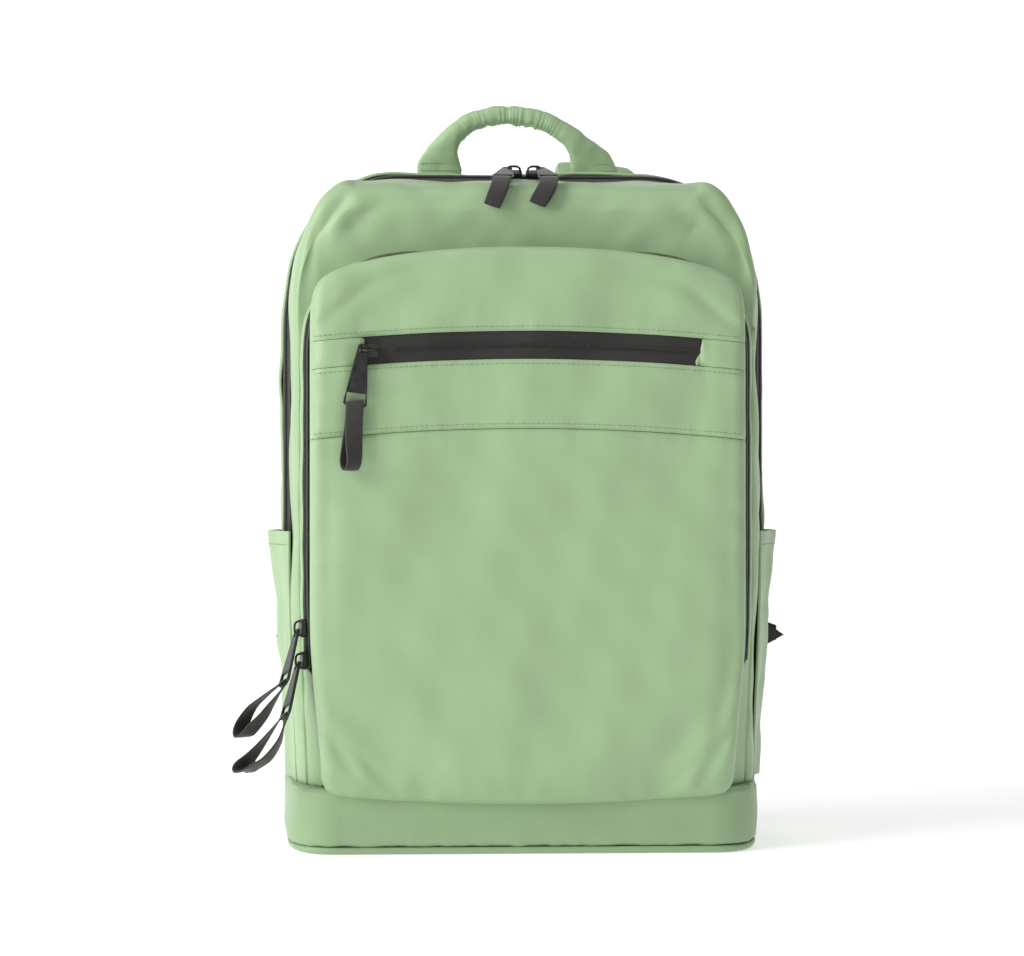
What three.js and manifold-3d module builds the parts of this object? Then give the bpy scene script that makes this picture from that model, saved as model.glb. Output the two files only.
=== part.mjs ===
// Laptop backpack, standing on its base. Millimetres, +Z up, the front faces -Y, the origin is the
// middle of the flat bottom.
import * as THREE from 'three';
import { mergeVertices } from 'three/addons/utils/BufferGeometryUtils.js';
import Module from 'manifold-3d';

const wasm = await Module();
wasm.setup();

// Cloth and seams
const wall = 2;
const seamGap = 0.3;
const zipRecess = 0.5;

// Base
const baseWidth = 300;
const baseDepth = 124;
const baseHeight = 40;
const baseCorner = 30;
const baseFrontDraw = 4;
const bandBelly = 1;
const floorThickness = 3;
const floorRim = 4.7;
const floorTurn = 6;

// Main compartment
const bodyWidth = 310;
const bodyHeight = 426;
const bodyDepth = 98;
const shoulderRadius = 75;
const baseTuck = 5;
const mainZipWidth = 12;
const mainZipSetback = 36;
const mainZipEnd = 180;

// Front compartment
const gussetWidth = 282;
const gussetHeight = 370;
const gussetDepth = 14;
const gussetTaper = 4.5;
const compartmentZipWidth = 8;
const compartmentZipEndLeft = 112;
const compartmentZipEndRight = 118;
const coverWidth = 268;
const coverTop = 373;
const coverBottom = 36;
const coverDepth = 23;
const coverFoot = 14;
const coverSag = 6;
const coverTuck = 7;
const floorReach = 0.41;

// Seams and pocket zip on the cover
const pocketZipHeight = 17;
const pocketZipTop = 320;
const pocketZipLeft = 100;
const pocketZipRight = 106;
const bandSeamHeight = 260.5;
const seamDroop = 7;

// Side pockets
const pocketHeight = 197;
const pocketSwell = 6;
const pocketFront = 16;
const pocketBack = 14;
const pocketWall = 1.6;

// Carry handle
const handleSpan = 102;
const handleRise = 39;
const gripThickness = 13;
const gripDepth = 15;
const footBreadth = 30;
const footThickness = 4;
const handleSetback = 61;
const handleShift = -3.5;
const handleLean = -6;

// Back and harness
const padWidth = 250;
const padHeight = 316;
const padThickness = 7;
const padLift = 62;
const padEdge = 2.5;
const padRim = 31;
const padChannelWidth = 30;
const padChannelDepth = 3.2;
const padTaper = 7.5;
const strapWidth = 58;
const strapThickness = 10;
const strapSpacing = 98;
const strapSplay = 22;
const strapBow = 22;
const strapHumpLeft = 5;
const strapHumpRight = 16;
const strapTilt = 0.22;
const strapEnd = 186;
const strapFoot = 26;
const strapSplayAtFoot = 0.62;
const webbingWidth = 25;
const webbingThickness = 1.6;
const buckleWidth = 36;
const buckleLength = 22;
const buckleThickness = 4;
const anchorReachLeft = 6;
const anchorReachRight = 19;
const anchorHeight = 20;
const anchorThickness = 3;
const anchorLevel = 128;
const anchorInset = 10;

// Zip hardware
const sliderLength = 11;
const sliderBreadth = 8;
const sliderThickness = 2.8;
const bailRise = 3.6;
const bailSpan = 8.4;
const bailWire = 1.6;
const tabLength = 38;
const tabTopWidth = 6;
const tabBottomWidth = 14.6;
const tabThickness = 1.8;
const tabRim = 2;
const tabCorner = 1.3;
const tabSlotHeight = 6;
const ribbonWidth = 11;
const ribbonThickness = 0.9;
const ribbonLength = 40;
const topLean = -0.14;
const sideLean = -0.38;
const sideSwing = -0.42;
const pocketTabLean = -0.05;
const topSwing = 0.12;
const pocketSwing = 0.14;
const pocketSliderInset = 3;
const pocketLean = 0.05;
const sideSliderUpper = 26;
const sideSliderLower = 6;

// Places that follow from the sizes
const backFace = baseDepth / 2;
const frontPanel = backFace - bodyDepth;
const mainZipFront = frontPanel + mainZipSetback;
const mainZipBack = mainZipFront + mainZipWidth;
const mainZipMiddle = (mainZipFront + mainZipBack) / 2;
const coverBack = frontPanel - gussetDepth;
const padFace = backFace + seamGap + padThickness;
const anchorPlace = backFace - anchorInset;
const tabHole = bailWire + 7 * seamGap;
const tabTop = tabHole / 2 + tabRim;
const strapFootTurn = Math.atan2((1 - strapSplayAtFoot) * strapSplay, strapFoot);

// Cross-sections of the main body, front panel first. depth is a share of the body's depth, width of
// its half width, top of its height; drop, run and pinch of the shoulder radius; lift and reach say how
// far the shoulder stays on the side and on the top.
const bodySections = [
  { depth: 0.0, width: 0.915, top: 0.934, drop: 0.73, run: 0.56, lift: 0.5, reach: 0.53, pinch: 0.08 },
  { depth: 0.031, width: 0.928, top: 0.955, drop: 0.83, run: 0.53, lift: 0.5, reach: 0.5, pinch: 0.12 },
  { depth: 0.112, width: 0.942, top: 0.972, drop: 0.92, run: 0.51, lift: 0.5, reach: 0.47, pinch: 0.16 },
  { depth: 0.245, width: 0.955, top: 0.981, drop: 0.96, run: 0.73, lift: 0.52, reach: 0.54, pinch: 0.06 },
  { depth: 0.367, width: 0.968, top: 0.987, drop: 1.2, run: 0.96, lift: 0.62, reach: 0.55, pinch: 0 },
  { depth: 0.49, width: 1.0, top: 1.0, drop: 1.45, run: 1.0, lift: 0.68, reach: 0.55, pinch: 0 },
  { depth: 0.61, width: 1.0, top: 1.0, drop: 1.45, run: 1.0, lift: 0.68, reach: 0.55, pinch: 0 },
  { depth: 0.827, width: 0.984, top: 0.99, drop: 1.42, run: 1.0, lift: 0.68, reach: 0.55, pinch: 0 },
  { depth: 0.949, width: 0.955, top: 0.972, drop: 1.35, run: 0.95, lift: 0.68, reach: 0.55, pinch: 0 },
  { depth: 1.0, width: 0.91, top: 0.946, drop: 1.25, run: 0.9, lift: 0.68, reach: 0.55, pinch: 0 },
];

// Rings of the cover from its open back to the middle of its face. depth is a share of the cover's
// depth, inset of its half width.
const coverRings = [
  { depth: -0.2, inset: 0.0 },
  { depth: 0.35, inset: 0.004 },
  { depth: 0.62, inset: 0.022 },
  { depth: 0.82, inset: 0.066 },
  { depth: 0.93, inset: 0.15 },
  { depth: 0.98, inset: 0.38 },
  { depth: 1.0, inset: 0.68 },
];

// Side view of the cover's face: height is a share of the cover's height, depth of its depth.
const coverProfile = [
  { height: 0.0, depth: 0.86 },
  { height: 0.06, depth: 0.97 },
  { height: 0.2, depth: 1.0 },
  { height: 0.5, depth: 0.98 },
  { height: 0.8, depth: 0.86 },
  { height: 1.0, depth: 0.64 },
];

// Dents and folds of the cover's face. across is a share of its half width, up of its height, breadth
// and length of its width; turn is in degrees from upright; push is a share of the cover's depth, inwards.
const coverFolds = [
  { across: 0.72, up: 0.1, breadth: 0.07, length: 0.16, turn: -38, push: 0.14 },
  { across: -0.66, up: 0.1, breadth: 0.08, length: 0.18, turn: 40, push: 0.09 },
  { across: 0.28, up: 0.36, breadth: 0.12, length: 0.3, turn: -24, push: 0.08 },
  { across: -0.3, up: 0.52, breadth: 0.13, length: 0.26, turn: 18, push: 0.06 },
  { across: 0.66, up: 0.84, breadth: 0.05, length: 0.14, turn: 74, push: 0.09 },
  { across: -0.55, up: 0.9, breadth: 0.06, length: 0.13, turn: -58, push: 0.06 },
];

// Swell of a side pocket: height and place are shares of the pocket, swell of its full swell.
const pocketBySide = [
  { height: 0.0, swell: 0.04 },
  { height: 0.35, swell: 0.18 },
  { height: 0.64, swell: 0.36 },
  { height: 0.7, swell: 0.24 },
  { height: 0.8, swell: 0.48 },
  { height: 1.0, swell: 1.0 },
];
const pocketByDepth = [
  { place: 0.0, swell: 0.0 },
  { place: 0.14, swell: 0.66 },
  { place: 0.32, swell: 0.96 },
  { place: 0.66, swell: 1.0 },
  { place: 0.86, swell: 0.7 },
  { place: 1.0, swell: 0.0 },
];

// Middle line of the handle's half: across is a share of half the span, up of the rise; spread goes from
// grip (0) to foot (1).
const handleLine = [
  { across: 1.0, up: -0.12, spread: 1.0 },
  { across: 0.97, up: 0.12, spread: 1.0 },
  { across: 0.92, up: 0.3, spread: 0.72 },
  { across: 0.84, up: 0.5, spread: 0.26 },
  { across: 0.72, up: 0.68, spread: 0.06 },
  { across: 0.5, up: 0.87, spread: 0.0 },
  { across: 0.26, up: 0.97, spread: 0.0 },
  { across: 0.0, up: 1.0, spread: 0.0 },
];

// Middle line of a shoulder strap. up is a share of the body's height, and hump of the strap's hump
// above it; back is a share of the bow behind the pad; out is a share of the splay.
const strapLine = [
  { up: 0.915, hump: 0.0, back: -0.58, out: 0.0 },
  { up: 0.962, hump: 0.0, back: -0.5, out: 0.0 },
  { up: 0.985, hump: 0.5, back: -0.3, out: 0.0 },
  { up: 0.99, hump: 1.0, back: 0.22, out: 0.0 },
  { up: 0.975, hump: 0.7, back: 0.82, out: 0.0 },
  { up: 0.935, hump: 0.0, back: 1.0, out: 0.0 },
  { up: 0.84, hump: 0.0, back: 0.78, out: 0.02 },
  { up: 0.72, hump: 0.0, back: 0.42, out: 0.08 },
  { up: 0.6, hump: 0.0, back: 0.16, out: 0.26 },
];

// Shoulder curves of the gusset and of the cover. drop and run are shares of the body's shoulder radius
// for the gusset, of the cover's height and half width for the cover.
const gussetShoulder = { drop: 0.8, run: 0.9, lift: 0.6, reach: 0.6 };
const coverShoulder = { drop: 0.16, run: 1, lift: 0.8, reach: 0.735 };

// Share of the body's height up to which it narrows, and of the cover's height up to which it narrows
// and sags.
const tuckReach = 0.42;
const slackReach = 0.32;

// Finishes
const finishes = {
  green: { color: 0xa3c298, roughness: 0.6, metalness: 0 },
  tape: { color: 0x34332f, roughness: 0.85, metalness: 0 },
  webbing: { color: 0x3b3937, roughness: 0.8, metalness: 0 },
  metal: { color: 0x3a3938, roughness: 0.4, metalness: 0.8 },
  plastic: { color: 0x2b2b2a, roughness: 0.55, metalness: 0 },
  padding: { color: 0x5a5b58, roughness: 0.9, metalness: 0 },
};

// Solids and meshes
function solidOf(geometry) {
  const shape = geometry.clone();
  shape.deleteAttribute('normal');
  shape.deleteAttribute('uv');
  const merged = mergeVertices(shape, 1e-4);
  const mesh = new wasm.Mesh({
    numProp: 3,
    vertProperties: new Float32Array(merged.attributes.position.array),
    triVerts: new Uint32Array(merged.index.array),
  });
  return new wasm.Manifold(mesh);
}

function geometryOf(solid) {
  const mesh = solid.getMesh();
  const geometry = new THREE.BufferGeometry();
  geometry.setAttribute('position', new THREE.BufferAttribute(new Float32Array(mesh.vertProperties), 3));
  geometry.setIndex(new THREE.BufferAttribute(new Uint32Array(mesh.triVerts), 1));
  geometry.computeVertexNormals();
  return geometry;
}

function part(name, geometry, finish) {
  const material = new THREE.MeshStandardMaterial(finishes[finish]);
  const mesh = new THREE.Mesh(geometry, material);
  mesh.name = name;
  return mesh;
}

// Closed skin through rings of equal point counts. A round end is closed by a fan round its middle, the
// end of a strip by quads between its two faces.
function skin(rings, strip = false) {
  const count = rings[0].length;
  const points = rings.flat();
  const triangles = [];
  for (let r = 0; r + 1 < rings.length; r += 1) {
    for (let i = 0; i < count; i += 1) {
      const next = (i + 1) % count;
      const [a, b] = [r * count + i, r * count + next];
      const [c, d] = [(r + 1) * count + i, (r + 1) * count + next];
      triangles.push([a, b, d], [a, d, c]);
    }
  }
  for (const [ring, turned] of [[0, false], [rings.length - 1, true]]) {
    const base = ring * count;
    const end = [];
    if (strip) {
      for (let i = 0; i + 1 < count / 2; i += 1) {
        const [a, b] = [base + i, base + i + 1];
        const [c, d] = [base + count - 1 - i, base + count - 2 - i];
        end.push([a, b, d], [a, d, c]);
      }
    } else {
      points.push(rings[ring].reduce((sum, p) => sum.add(p), new THREE.Vector3()).divideScalar(count));
      for (let i = 0; i < count; i += 1) {
        end.push([base + i, base + ((i + 1) % count), points.length - 1]);
      }
    }
    triangles.push(...end.map(([a, b, c]) => (turned ? [a, b, c] : [a, c, b])));
  }
  return outward(points, triangles);
}

function outward(points, triangles) {
  let volume = 0;
  for (const [a, b, c] of triangles) {
    volume += points[a].dot(new THREE.Vector3().crossVectors(points[b], points[c]));
  }
  const faces = volume < 0 ? triangles.map(([a, b, c]) => [a, c, b]) : triangles;
  const geometry = new THREE.BufferGeometry().setFromPoints(points);
  geometry.setIndex(faces.flat());
  return geometry;
}

// Plate of one thickness over an outline with holes, lying in X and Y.
function plate(outline, holes, thickness) {
  const turned = (points, clockwise) => (
    THREE.ShapeUtils.isClockWise(points) === clockwise ? points : [...points].reverse()
  );
  const shape = new THREE.Shape(turned(outline, false));
  shape.holes = holes.map((hole) => new THREE.Path(turned(hole, true)));
  return new THREE.ExtrudeGeometry(shape, { depth: thickness, bevelEnabled: false });
}

const flat = (points) => points.map(([x, y]) => new THREE.Vector2(x, y));

function block(low, high) {
  const size = high.map((value, axis) => value - low[axis]);
  const geometry = new THREE.BoxGeometry(...size);
  geometry.translate(...low.map((value, axis) => value + size[axis] / 2));
  return solidOf(geometry);
}

// Value of one column of a table at a place, straight between rows.
function readTable(table, key, column, place) {
  const last = table[table.length - 1];
  if (place <= table[0][key]) return table[0][column];
  for (let i = 0; i + 1 < table.length; i += 1) {
    const [a, b] = [table[i], table[i + 1]];
    if (place <= b[key]) {
      const share = (place - a[key]) / (b[key] - a[key]);
      return THREE.MathUtils.lerp(a[column], b[column], share);
    }
  }
  return last[column];
}

// Arch outline in X and Z: flat foot with round corners, upright sides, shoulder curves, flat crown.
// The steps are the straight pieces of each of its five stretches.
const outlineSteps = [3, 2, 7, 9, 4];
function archOutline(arch) {
  const { half, bottom, top, foot, drop, run, lift, reach, pinch } = arch;
  const path = new THREE.Path();
  path.moveTo(0, bottom);
  path.lineTo(half - foot, bottom);
  path.quadraticCurveTo(half, bottom, half, bottom + foot);
  path.lineTo(half, top - drop);
  path.bezierCurveTo(
    half, top - drop * (1 - lift),
    half - run * (1 - reach), top + pinch,
    half - run, top,
  );
  path.lineTo(0, top);
  const right = [new THREE.Vector2(0, bottom)];
  path.curves.forEach((curve, i) => right.push(...curve.getPoints(outlineSteps[i]).slice(1)));
  const left = right.slice(1, -1).reverse().map((p) => new THREE.Vector2(-p.x, p.y));
  return [...right, ...left];
}

// The body narrows a little towards its foot.
function bodyTuck(z) {
  const tucked = 1 - THREE.MathUtils.smoothstep(z, baseHeight / 2, bodyHeight * tuckReach);
  return (baseTuck * tucked) / (bodyWidth / 2);
}

function bodyHalfWidth(y, z) {
  const width = readTable(bodySections, 'depth', 'width', (y - frontPanel) / bodyDepth);
  return (bodyWidth / 2) * width * (1 - bodyTuck(z));
}

// The main body's outer form, grown or shrunk all round.
function bodyForm(grow) {
  const rings = bodySections.map((row) => {
    const arch = {
      half: (bodyWidth / 2) * row.width + grow,
      bottom: baseHeight / 2,
      top: bodyHeight * row.top + grow,
      foot: seamGap,
      drop: shoulderRadius * row.drop,
      run: shoulderRadius * row.run,
      lift: row.lift,
      reach: row.reach,
      pinch: shoulderRadius * row.pinch,
    };
    const y = frontPanel - grow + row.depth * (bodyDepth + 2 * grow);
    return archOutline(arch).map((p) => new THREE.Vector3(p.x * (1 - bodyTuck(p.y)), y, p.y));
  });
  return solidOf(skin(rings));
}

// Round-cornered plan of the base, drawn in by an inset, a little narrower at the front. The steps are
// the straight pieces of each of its five stretches.
const planSteps = [4, 6, 3, 5, 4];
function basePlan(inset, z) {
  const half = baseWidth / 2 - inset;
  const deep = baseDepth / 2 - inset;
  const corner = baseCorner - inset;
  const shape = new THREE.Path();
  const front = half - baseFrontDraw;
  shape.moveTo(0, -deep);
  shape.lineTo(front - corner, -deep);
  shape.quadraticCurveTo(front - corner * 0.1, -deep + corner * 0.1, front, -deep + corner * 1.4);
  shape.lineTo(half, deep - corner);
  shape.quadraticCurveTo(half, deep, half - corner, deep);
  shape.lineTo(0, deep);
  const right = [new THREE.Vector2(0, -deep)];
  shape.curves.forEach((curve, i) => right.push(...curve.getPoints(planSteps[i]).slice(1)));
  const left = right.slice(1, -1).reverse().map((p) => new THREE.Vector2(-p.x, p.y));
  return [...right, ...left].map((p) => new THREE.Vector3(p.x, p.y, z));
}

function baseForm(inset, bottom, top) {
  return solidOf(skin([
    basePlan(inset + bandBelly, bottom),
    basePlan(inset, (bottom + top) / 2),
    basePlan(inset + bandBelly / 2, top),
  ]));
}

// Prism through the whole depth over an outline in X and Z.
function frontPrism(outline) {
  const geometry = plate(flat(outline), [], 4 * baseDepth);
  geometry.rotateX(Math.PI / 2);
  geometry.translate(0, 2 * baseDepth, 0);
  return solidOf(geometry);
}

// Height of a seam that is highest in the middle of the cover.
function seamHeight(middle, x) {
  return middle - seamDroop * (x / (coverWidth / 2)) ** 2;
}

// Prism between two seams, each a height at the middle, from one side to another.
function seamPrism(low, high, left, right) {
  const steps = 12;
  const lower = [];
  const upper = [];
  for (let i = 0; i <= steps; i += 1) {
    const lowX = THREE.MathUtils.lerp(left[0], right[0], i / steps);
    const highX = THREE.MathUtils.lerp(left[1], right[1], i / steps);
    lower.push([lowX, seamHeight(low, lowX)]);
    upper.unshift([highX, seamHeight(high, highX)]);
  }
  return frontPrism([...lower, ...upper]);
}

// Dents and folds of the cover at a place on its face, inwards.
function foldDepth(x, z) {
  const half = coverWidth / 2;
  const height = coverTop - coverBottom;
  return coverFolds.reduce((sum, fold) => {
    const turn = THREE.MathUtils.degToRad(fold.turn);
    const dx = x - fold.across * half;
    const dz = z - (coverBottom + fold.up * height);
    const across = (dx * Math.cos(turn) + dz * Math.sin(turn)) / (fold.breadth * coverWidth);
    const along = (dz * Math.cos(turn) - dx * Math.sin(turn)) / (fold.length * coverWidth);
    return sum + fold.push * coverDepth * Math.exp(-(across ** 2) - along ** 2);
  }, 0);
}

// The cover of the front compartment as a filled form, grown or shrunk.
function coverForm(grow) {
  const half = coverWidth / 2;
  const height = coverTop - coverBottom;
  const rings = coverRings.map((row) => {
    const inset = row.inset * half - grow;
    const top = coverTop - inset;
    const side = half - inset;
    const bottom = coverBottom + inset;
    const arch = {
      half: side,
      bottom,
      top,
      foot: Math.min(coverFoot, side / 4),
      drop: (top - bottom) * coverShoulder.drop,
      run: side * coverShoulder.run,
      lift: coverShoulder.lift,
      reach: coverShoulder.reach,
      pinch: 0,
    };
    return archOutline(arch).map((p) => {
      const narrow = 1 - THREE.MathUtils.smoothstep(p.y, coverBottom, coverBottom + height * slackReach);
      const x = p.x * (1 - (coverTuck / half) * narrow);
      const low = Math.max(0, 1 - (p.y - coverBottom) / (height * slackReach));
      const z = p.y - coverSag * low * (1 - (p.x / half) ** 2);
      const share = (z - coverBottom) / height;
      const face = row.depth * coverDepth * readTable(coverProfile, 'height', 'depth', share);
      const folded = Math.max(row.depth, 0) ** 3 * foldDepth(x, z);
      return new THREE.Vector3(x, coverBack - face - grow * Math.max(row.depth, 0) + folded, z);
    });
  });
  return solidOf(skin(rings));
}

// The ring between body and cover as a filled form.
function gussetForm(grow) {
  const rings = [-0.1, 0.4, 1.1].map((share) => {
    const taper = gussetTaper * Math.max(share, 0);
    const arch = {
      half: gussetWidth / 2 - taper + grow,
      bottom: baseHeight + seamGap - grow,
      top: gussetHeight + grow,
      foot: coverFoot,
      drop: shoulderRadius * gussetShoulder.drop,
      run: shoulderRadius * gussetShoulder.run,
      lift: gussetShoulder.lift,
      reach: gussetShoulder.reach,
      pinch: 0,
    };
    const y = frontPanel - seamGap - share * gussetDepth;
    return archOutline(arch).map((p) => new THREE.Vector3(p.x * (1 - bodyTuck(p.y)), y, p.y));
  });
  return solidOf(skin(rings));
}

const far = 2 * bodyHeight;
const bodyOuter = bodyForm(0);
const bodyShell = bodyOuter.subtract(bodyForm(-wall));
const clearOfBody = bodyForm(seamGap);
const bag = new THREE.Group();

// Base floor and band
const floorDish = solidOf(skin([
  basePlan(floorTurn, 0),
  basePlan(floorTurn * 0.35, floorRim * 0.3),
  basePlan(bandBelly, floorRim),
]));
const floorHollow = solidOf(skin([
  basePlan(floorTurn * 1.5, floorThickness),
  basePlan(bandBelly + wall, floorThickness + wall),
]));
bag.add(part('base_floor', geometryOf(floorDish.subtract(floorHollow)), 'green'));

const bandOuter = baseForm(0, floorRim + seamGap, baseHeight);
const bandInner = solidOf(skin([
  basePlan(wall + bandBelly, floorRim),
  basePlan(wall, baseHeight / 2),
  basePlan(wall + bandBelly / 2, baseHeight + bandBelly),
]));
bag.add(part('base_band', geometryOf(bandOuter.subtract(bandInner)), 'green'));

// Main compartment: front shell, back shell and the zip between them
const aboveBase = baseHeight + seamGap;
const zipSlot = block(
  [-far, mainZipFront - seamGap, mainZipEnd - seamGap],
  [far, mainZipBack + seamGap, far],
);
const frontSide = block([-far, -far, aboveBase], [far, mainZipMiddle - seamGap / 2, far]);
const backSide = block([-far, mainZipMiddle + seamGap / 2, aboveBase], [far, far, far]);
bag.add(part('front_shell', geometryOf(bodyShell.intersect(frontSide).subtract(zipSlot)), 'green'));
bag.add(part('back_shell', geometryOf(bodyShell.intersect(backSide).subtract(zipSlot)), 'green'));

const zipShell = bodyForm(-zipRecess).subtract(bodyForm(-wall));
const zipReach = block([-far, mainZipFront, mainZipEnd], [far, mainZipBack, far]);
bag.add(part('main_zip', geometryOf(zipShell.intersect(zipReach)), 'tape'));

// Front compartment: gusset with its floor, and the zip round it
const gussetSolid = gussetForm(0);
const gussetSpan = block([-far, coverBack, -far], [far, frontPanel - seamGap, far]);
const zipStart = coverBack + compartmentZipWidth;
function compartmentZipRoom(gap) {
  const left = block([-far, -far, compartmentZipEndLeft - gap], [0, zipStart + gap, far]);
  const right = block([0, -far, compartmentZipEndRight - gap], [far, zipStart + gap, far]);
  return left.add(right);
}
const floorHalf = coverWidth / 2 - coverTuck - coverFoot - 2 * wall;
// The floor reaches a share of the cover's depth in front of the gusset.
const compartmentFloor = block(
  [-floorHalf, coverBack - coverDepth * floorReach, aboveBase],
  [floorHalf, frontPanel - seamGap, aboveBase + wall],
);
const gussetRing = gussetSolid.subtract(gussetForm(-wall)).intersect(gussetSpan);
bag.add(part(
  'compartment_gusset',
  geometryOf(gussetRing.subtract(compartmentZipRoom(seamGap)).add(compartmentFloor)),
  'green',
));
const zipRing = gussetForm(-zipRecess).subtract(gussetForm(-wall)).intersect(gussetSpan);
bag.add(part('compartment_zip', geometryOf(zipRing.intersect(compartmentZipRoom(0))), 'tape'));

// Cover of the front compartment, cut into its sewn panels
const coverFront = block([-far, -far, -far], [far, coverBack - seamGap, far]);
const baseRoom = baseForm(-seamGap, 0, baseHeight + seamGap);
const coverOuter = coverForm(0);
const coverShell = coverOuter.subtract(coverForm(-wall)).intersect(coverFront).subtract(baseRoom);
const pocketZipBottom = pocketZipTop - pocketZipHeight;
const halfGap = seamGap / 2;
const leftEnd = [-pocketZipLeft, -pocketZipLeft];
const rightEnd = [pocketZipRight - seamDroop / 2, pocketZipRight];
const farLeft = [-far / 4, -far / 4];
const farRight = [far / 4, far / 4];
const shifted = (end, by) => end.map((x) => x + by);
const coverPanels = {
  cover_upper: seamPrism(pocketZipTop + halfGap, far, farLeft, farRight),
  cover_welt_left: seamPrism(
    pocketZipBottom + halfGap, pocketZipTop - halfGap, farLeft, shifted(leftEnd, -halfGap),
  ),
  cover_welt_right: seamPrism(
    pocketZipBottom + halfGap, pocketZipTop - halfGap, shifted(rightEnd, halfGap), farRight,
  ),
  cover_band: seamPrism(bandSeamHeight + halfGap, pocketZipBottom - halfGap, farLeft, farRight),
  cover_lower: seamPrism(-far, bandSeamHeight - halfGap, farLeft, farRight),
};
for (const [name, room] of Object.entries(coverPanels)) {
  bag.add(part(name, geometryOf(coverShell.intersect(room)), 'green'));
}
const pocketTape = coverForm(-zipRecess).subtract(coverForm(-wall)).intersect(seamPrism(
  pocketZipBottom + halfGap, pocketZipTop - halfGap,
  shifted(leftEnd, halfGap), shifted(rightEnd, -halfGap),
));
bag.add(part('pocket_zip', geometryOf(pocketTape), 'tape'));

// Side pockets: a wall that swells away from the body and is open at the top
function sidePocket(side) {
  const start = frontPanel + pocketFront;
  const span = backFace - pocketBack - start;
  const rows = 10;
  const places = pocketByDepth.map((row) => row.place);
  const outerAt = (place, height) => {
    const y = start + place * span;
    const z = aboveBase + seamGap + height * (pocketHeight - aboveBase - seamGap);
    const swell = readTable(pocketByDepth, 'place', 'swell', place)
      * readTable(pocketBySide, 'height', 'swell', height);
    const x = bodyHalfWidth(y, z) + seamGap + pocketWall + pocketSwell * swell;
    return new THREE.Vector3(side * x, y, z);
  };
  const innerAt = (place, height) => {
    const point = outerAt(place, height);
    point.x -= side * (pocketWall + (place === 0 || place === 1 ? seamGap : 0));
    return point;
  };
  const rings = [];
  for (let r = 0; r <= rows; r += 1) {
    const outer = places.map((place) => outerAt(place, r / rows));
    const inner = places.map((place) => innerAt(place, r / rows)).reverse();
    rings.push([...outer, ...inner]);
  }
  return solidOf(skin(rings, true)).subtract(clearOfBody);
}

bag.add(part('side_pocket_left', geometryOf(sidePocket(-1)), 'green'));
bag.add(part('side_pocket_right', geometryOf(sidePocket(1)), 'green'));

// Ring of a rounded section round a point, spanned by two half axes.
function roundRing(centre, halfA, halfB, sides, squareness) {
  const ring = [];
  for (let i = 0; i < sides; i += 1) {
    const angle = ((i + 0.5) * 2 * Math.PI) / sides;
    const power = (value) => Math.sign(value) * Math.abs(value) ** (2 / squareness);
    ring.push(centre.clone()
      .addScaledVector(halfA, power(Math.cos(angle)))
      .addScaledVector(halfB, power(Math.sin(angle))));
  }
  return ring;
}

// Strip swept along a smooth line; the face says which way its flat side looks at each place.
function sweptStrip(line, steps, sectionAt) {
  const curve = new THREE.CatmullRomCurve3(line, false, 'centripetal');
  const rings = [];
  for (let i = 0; i <= steps; i += 1) {
    const share = i / steps;
    const centre = curve.getPointAt(share);
    const tangent = curve.getTangentAt(share);
    const { face, width, thickness, sides, squareness } = sectionAt(share, tangent);
    const across = new THREE.Vector3().crossVectors(tangent, face).normalize();
    const normal = new THREE.Vector3().crossVectors(across, tangent).normalize();
    const halfAcross = across.multiplyScalar(width / 2);
    const halfNormal = normal.multiplyScalar(thickness / 2);
    rings.push(roundRing(centre, halfAcross, halfNormal, sides, squareness));
  }
  return solidOf(skin(rings));
}

// Carry handle: rolled grip that opens into a flat foot at each end, its middle leaning to one side
const handlePlace = frontPanel + handleSetback;
const handleSide = (side) => handleLine.map((row) => new THREE.Vector3(
  handleShift + handleLean * row.up + (side * row.across * handleSpan) / 2,
  handlePlace,
  bodyHeight + row.up * handleRise,
));
const handleCurve = [...handleSide(-1), ...handleSide(1).slice(0, -1).reverse()];
const spreads = handleLine.map((row) => row.spread);
const allSpreads = [...spreads, ...spreads.slice(0, -1).reverse()];
const handle = sweptStrip(handleCurve, 30, (share) => {
  const place = share * (allSpreads.length - 1);
  const low = Math.min(Math.floor(place), allSpreads.length - 2);
  const spread = THREE.MathUtils.lerp(allSpreads[low], allSpreads[low + 1], place - low);
  return {
    face: new THREE.Vector3(0, 1, 0),
    width: THREE.MathUtils.lerp(gripThickness, footBreadth, spread),
    thickness: THREE.MathUtils.lerp(gripDepth, footThickness, spread),
    sides: 10,
    squareness: 2.6,
  };
});
bag.add(part('carry_handle', geometryOf(handle.subtract(clearOfBody)), 'green'));

// Padded back panel with an air channel down its middle
function backPad() {
  const columns = 10;
  const rows = 10;
  const rings = [];
  for (let r = 0; r <= rows; r += 1) {
    const v = r / rows;
    const outer = [];
    const inner = [];
    for (let c = 0; c <= columns; c += 1) {
      const u = (c / columns) * 2 - 1;
      const sideRise = Math.min(1, ((1 - Math.abs(u)) * padWidth) / 2 / padRim);
      const endRise = Math.min(1, (Math.min(v, 1 - v) * padHeight) / (2 * padRim));
      const channel = padChannelDepth * Math.exp(-((u * padWidth / padChannelWidth) ** 2));
      const thick = padEdge + (padThickness - padEdge) * sideRise * endRise;
      const x = (padWidth / 2 - padTaper * (2 * v - 1) ** 4) * u;
      const z = padLift + v * padHeight;
      const face = Math.max(padEdge, thick - channel);
      outer.push(new THREE.Vector3(x, backFace + seamGap + face, z));
      inner.unshift(new THREE.Vector3(x, backFace + seamGap, z));
    }
    rings.push([...outer, ...inner]);
  }
  return skin(rings, true);
}
bag.add(part('back_pad', backPad(), 'padding'));

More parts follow.
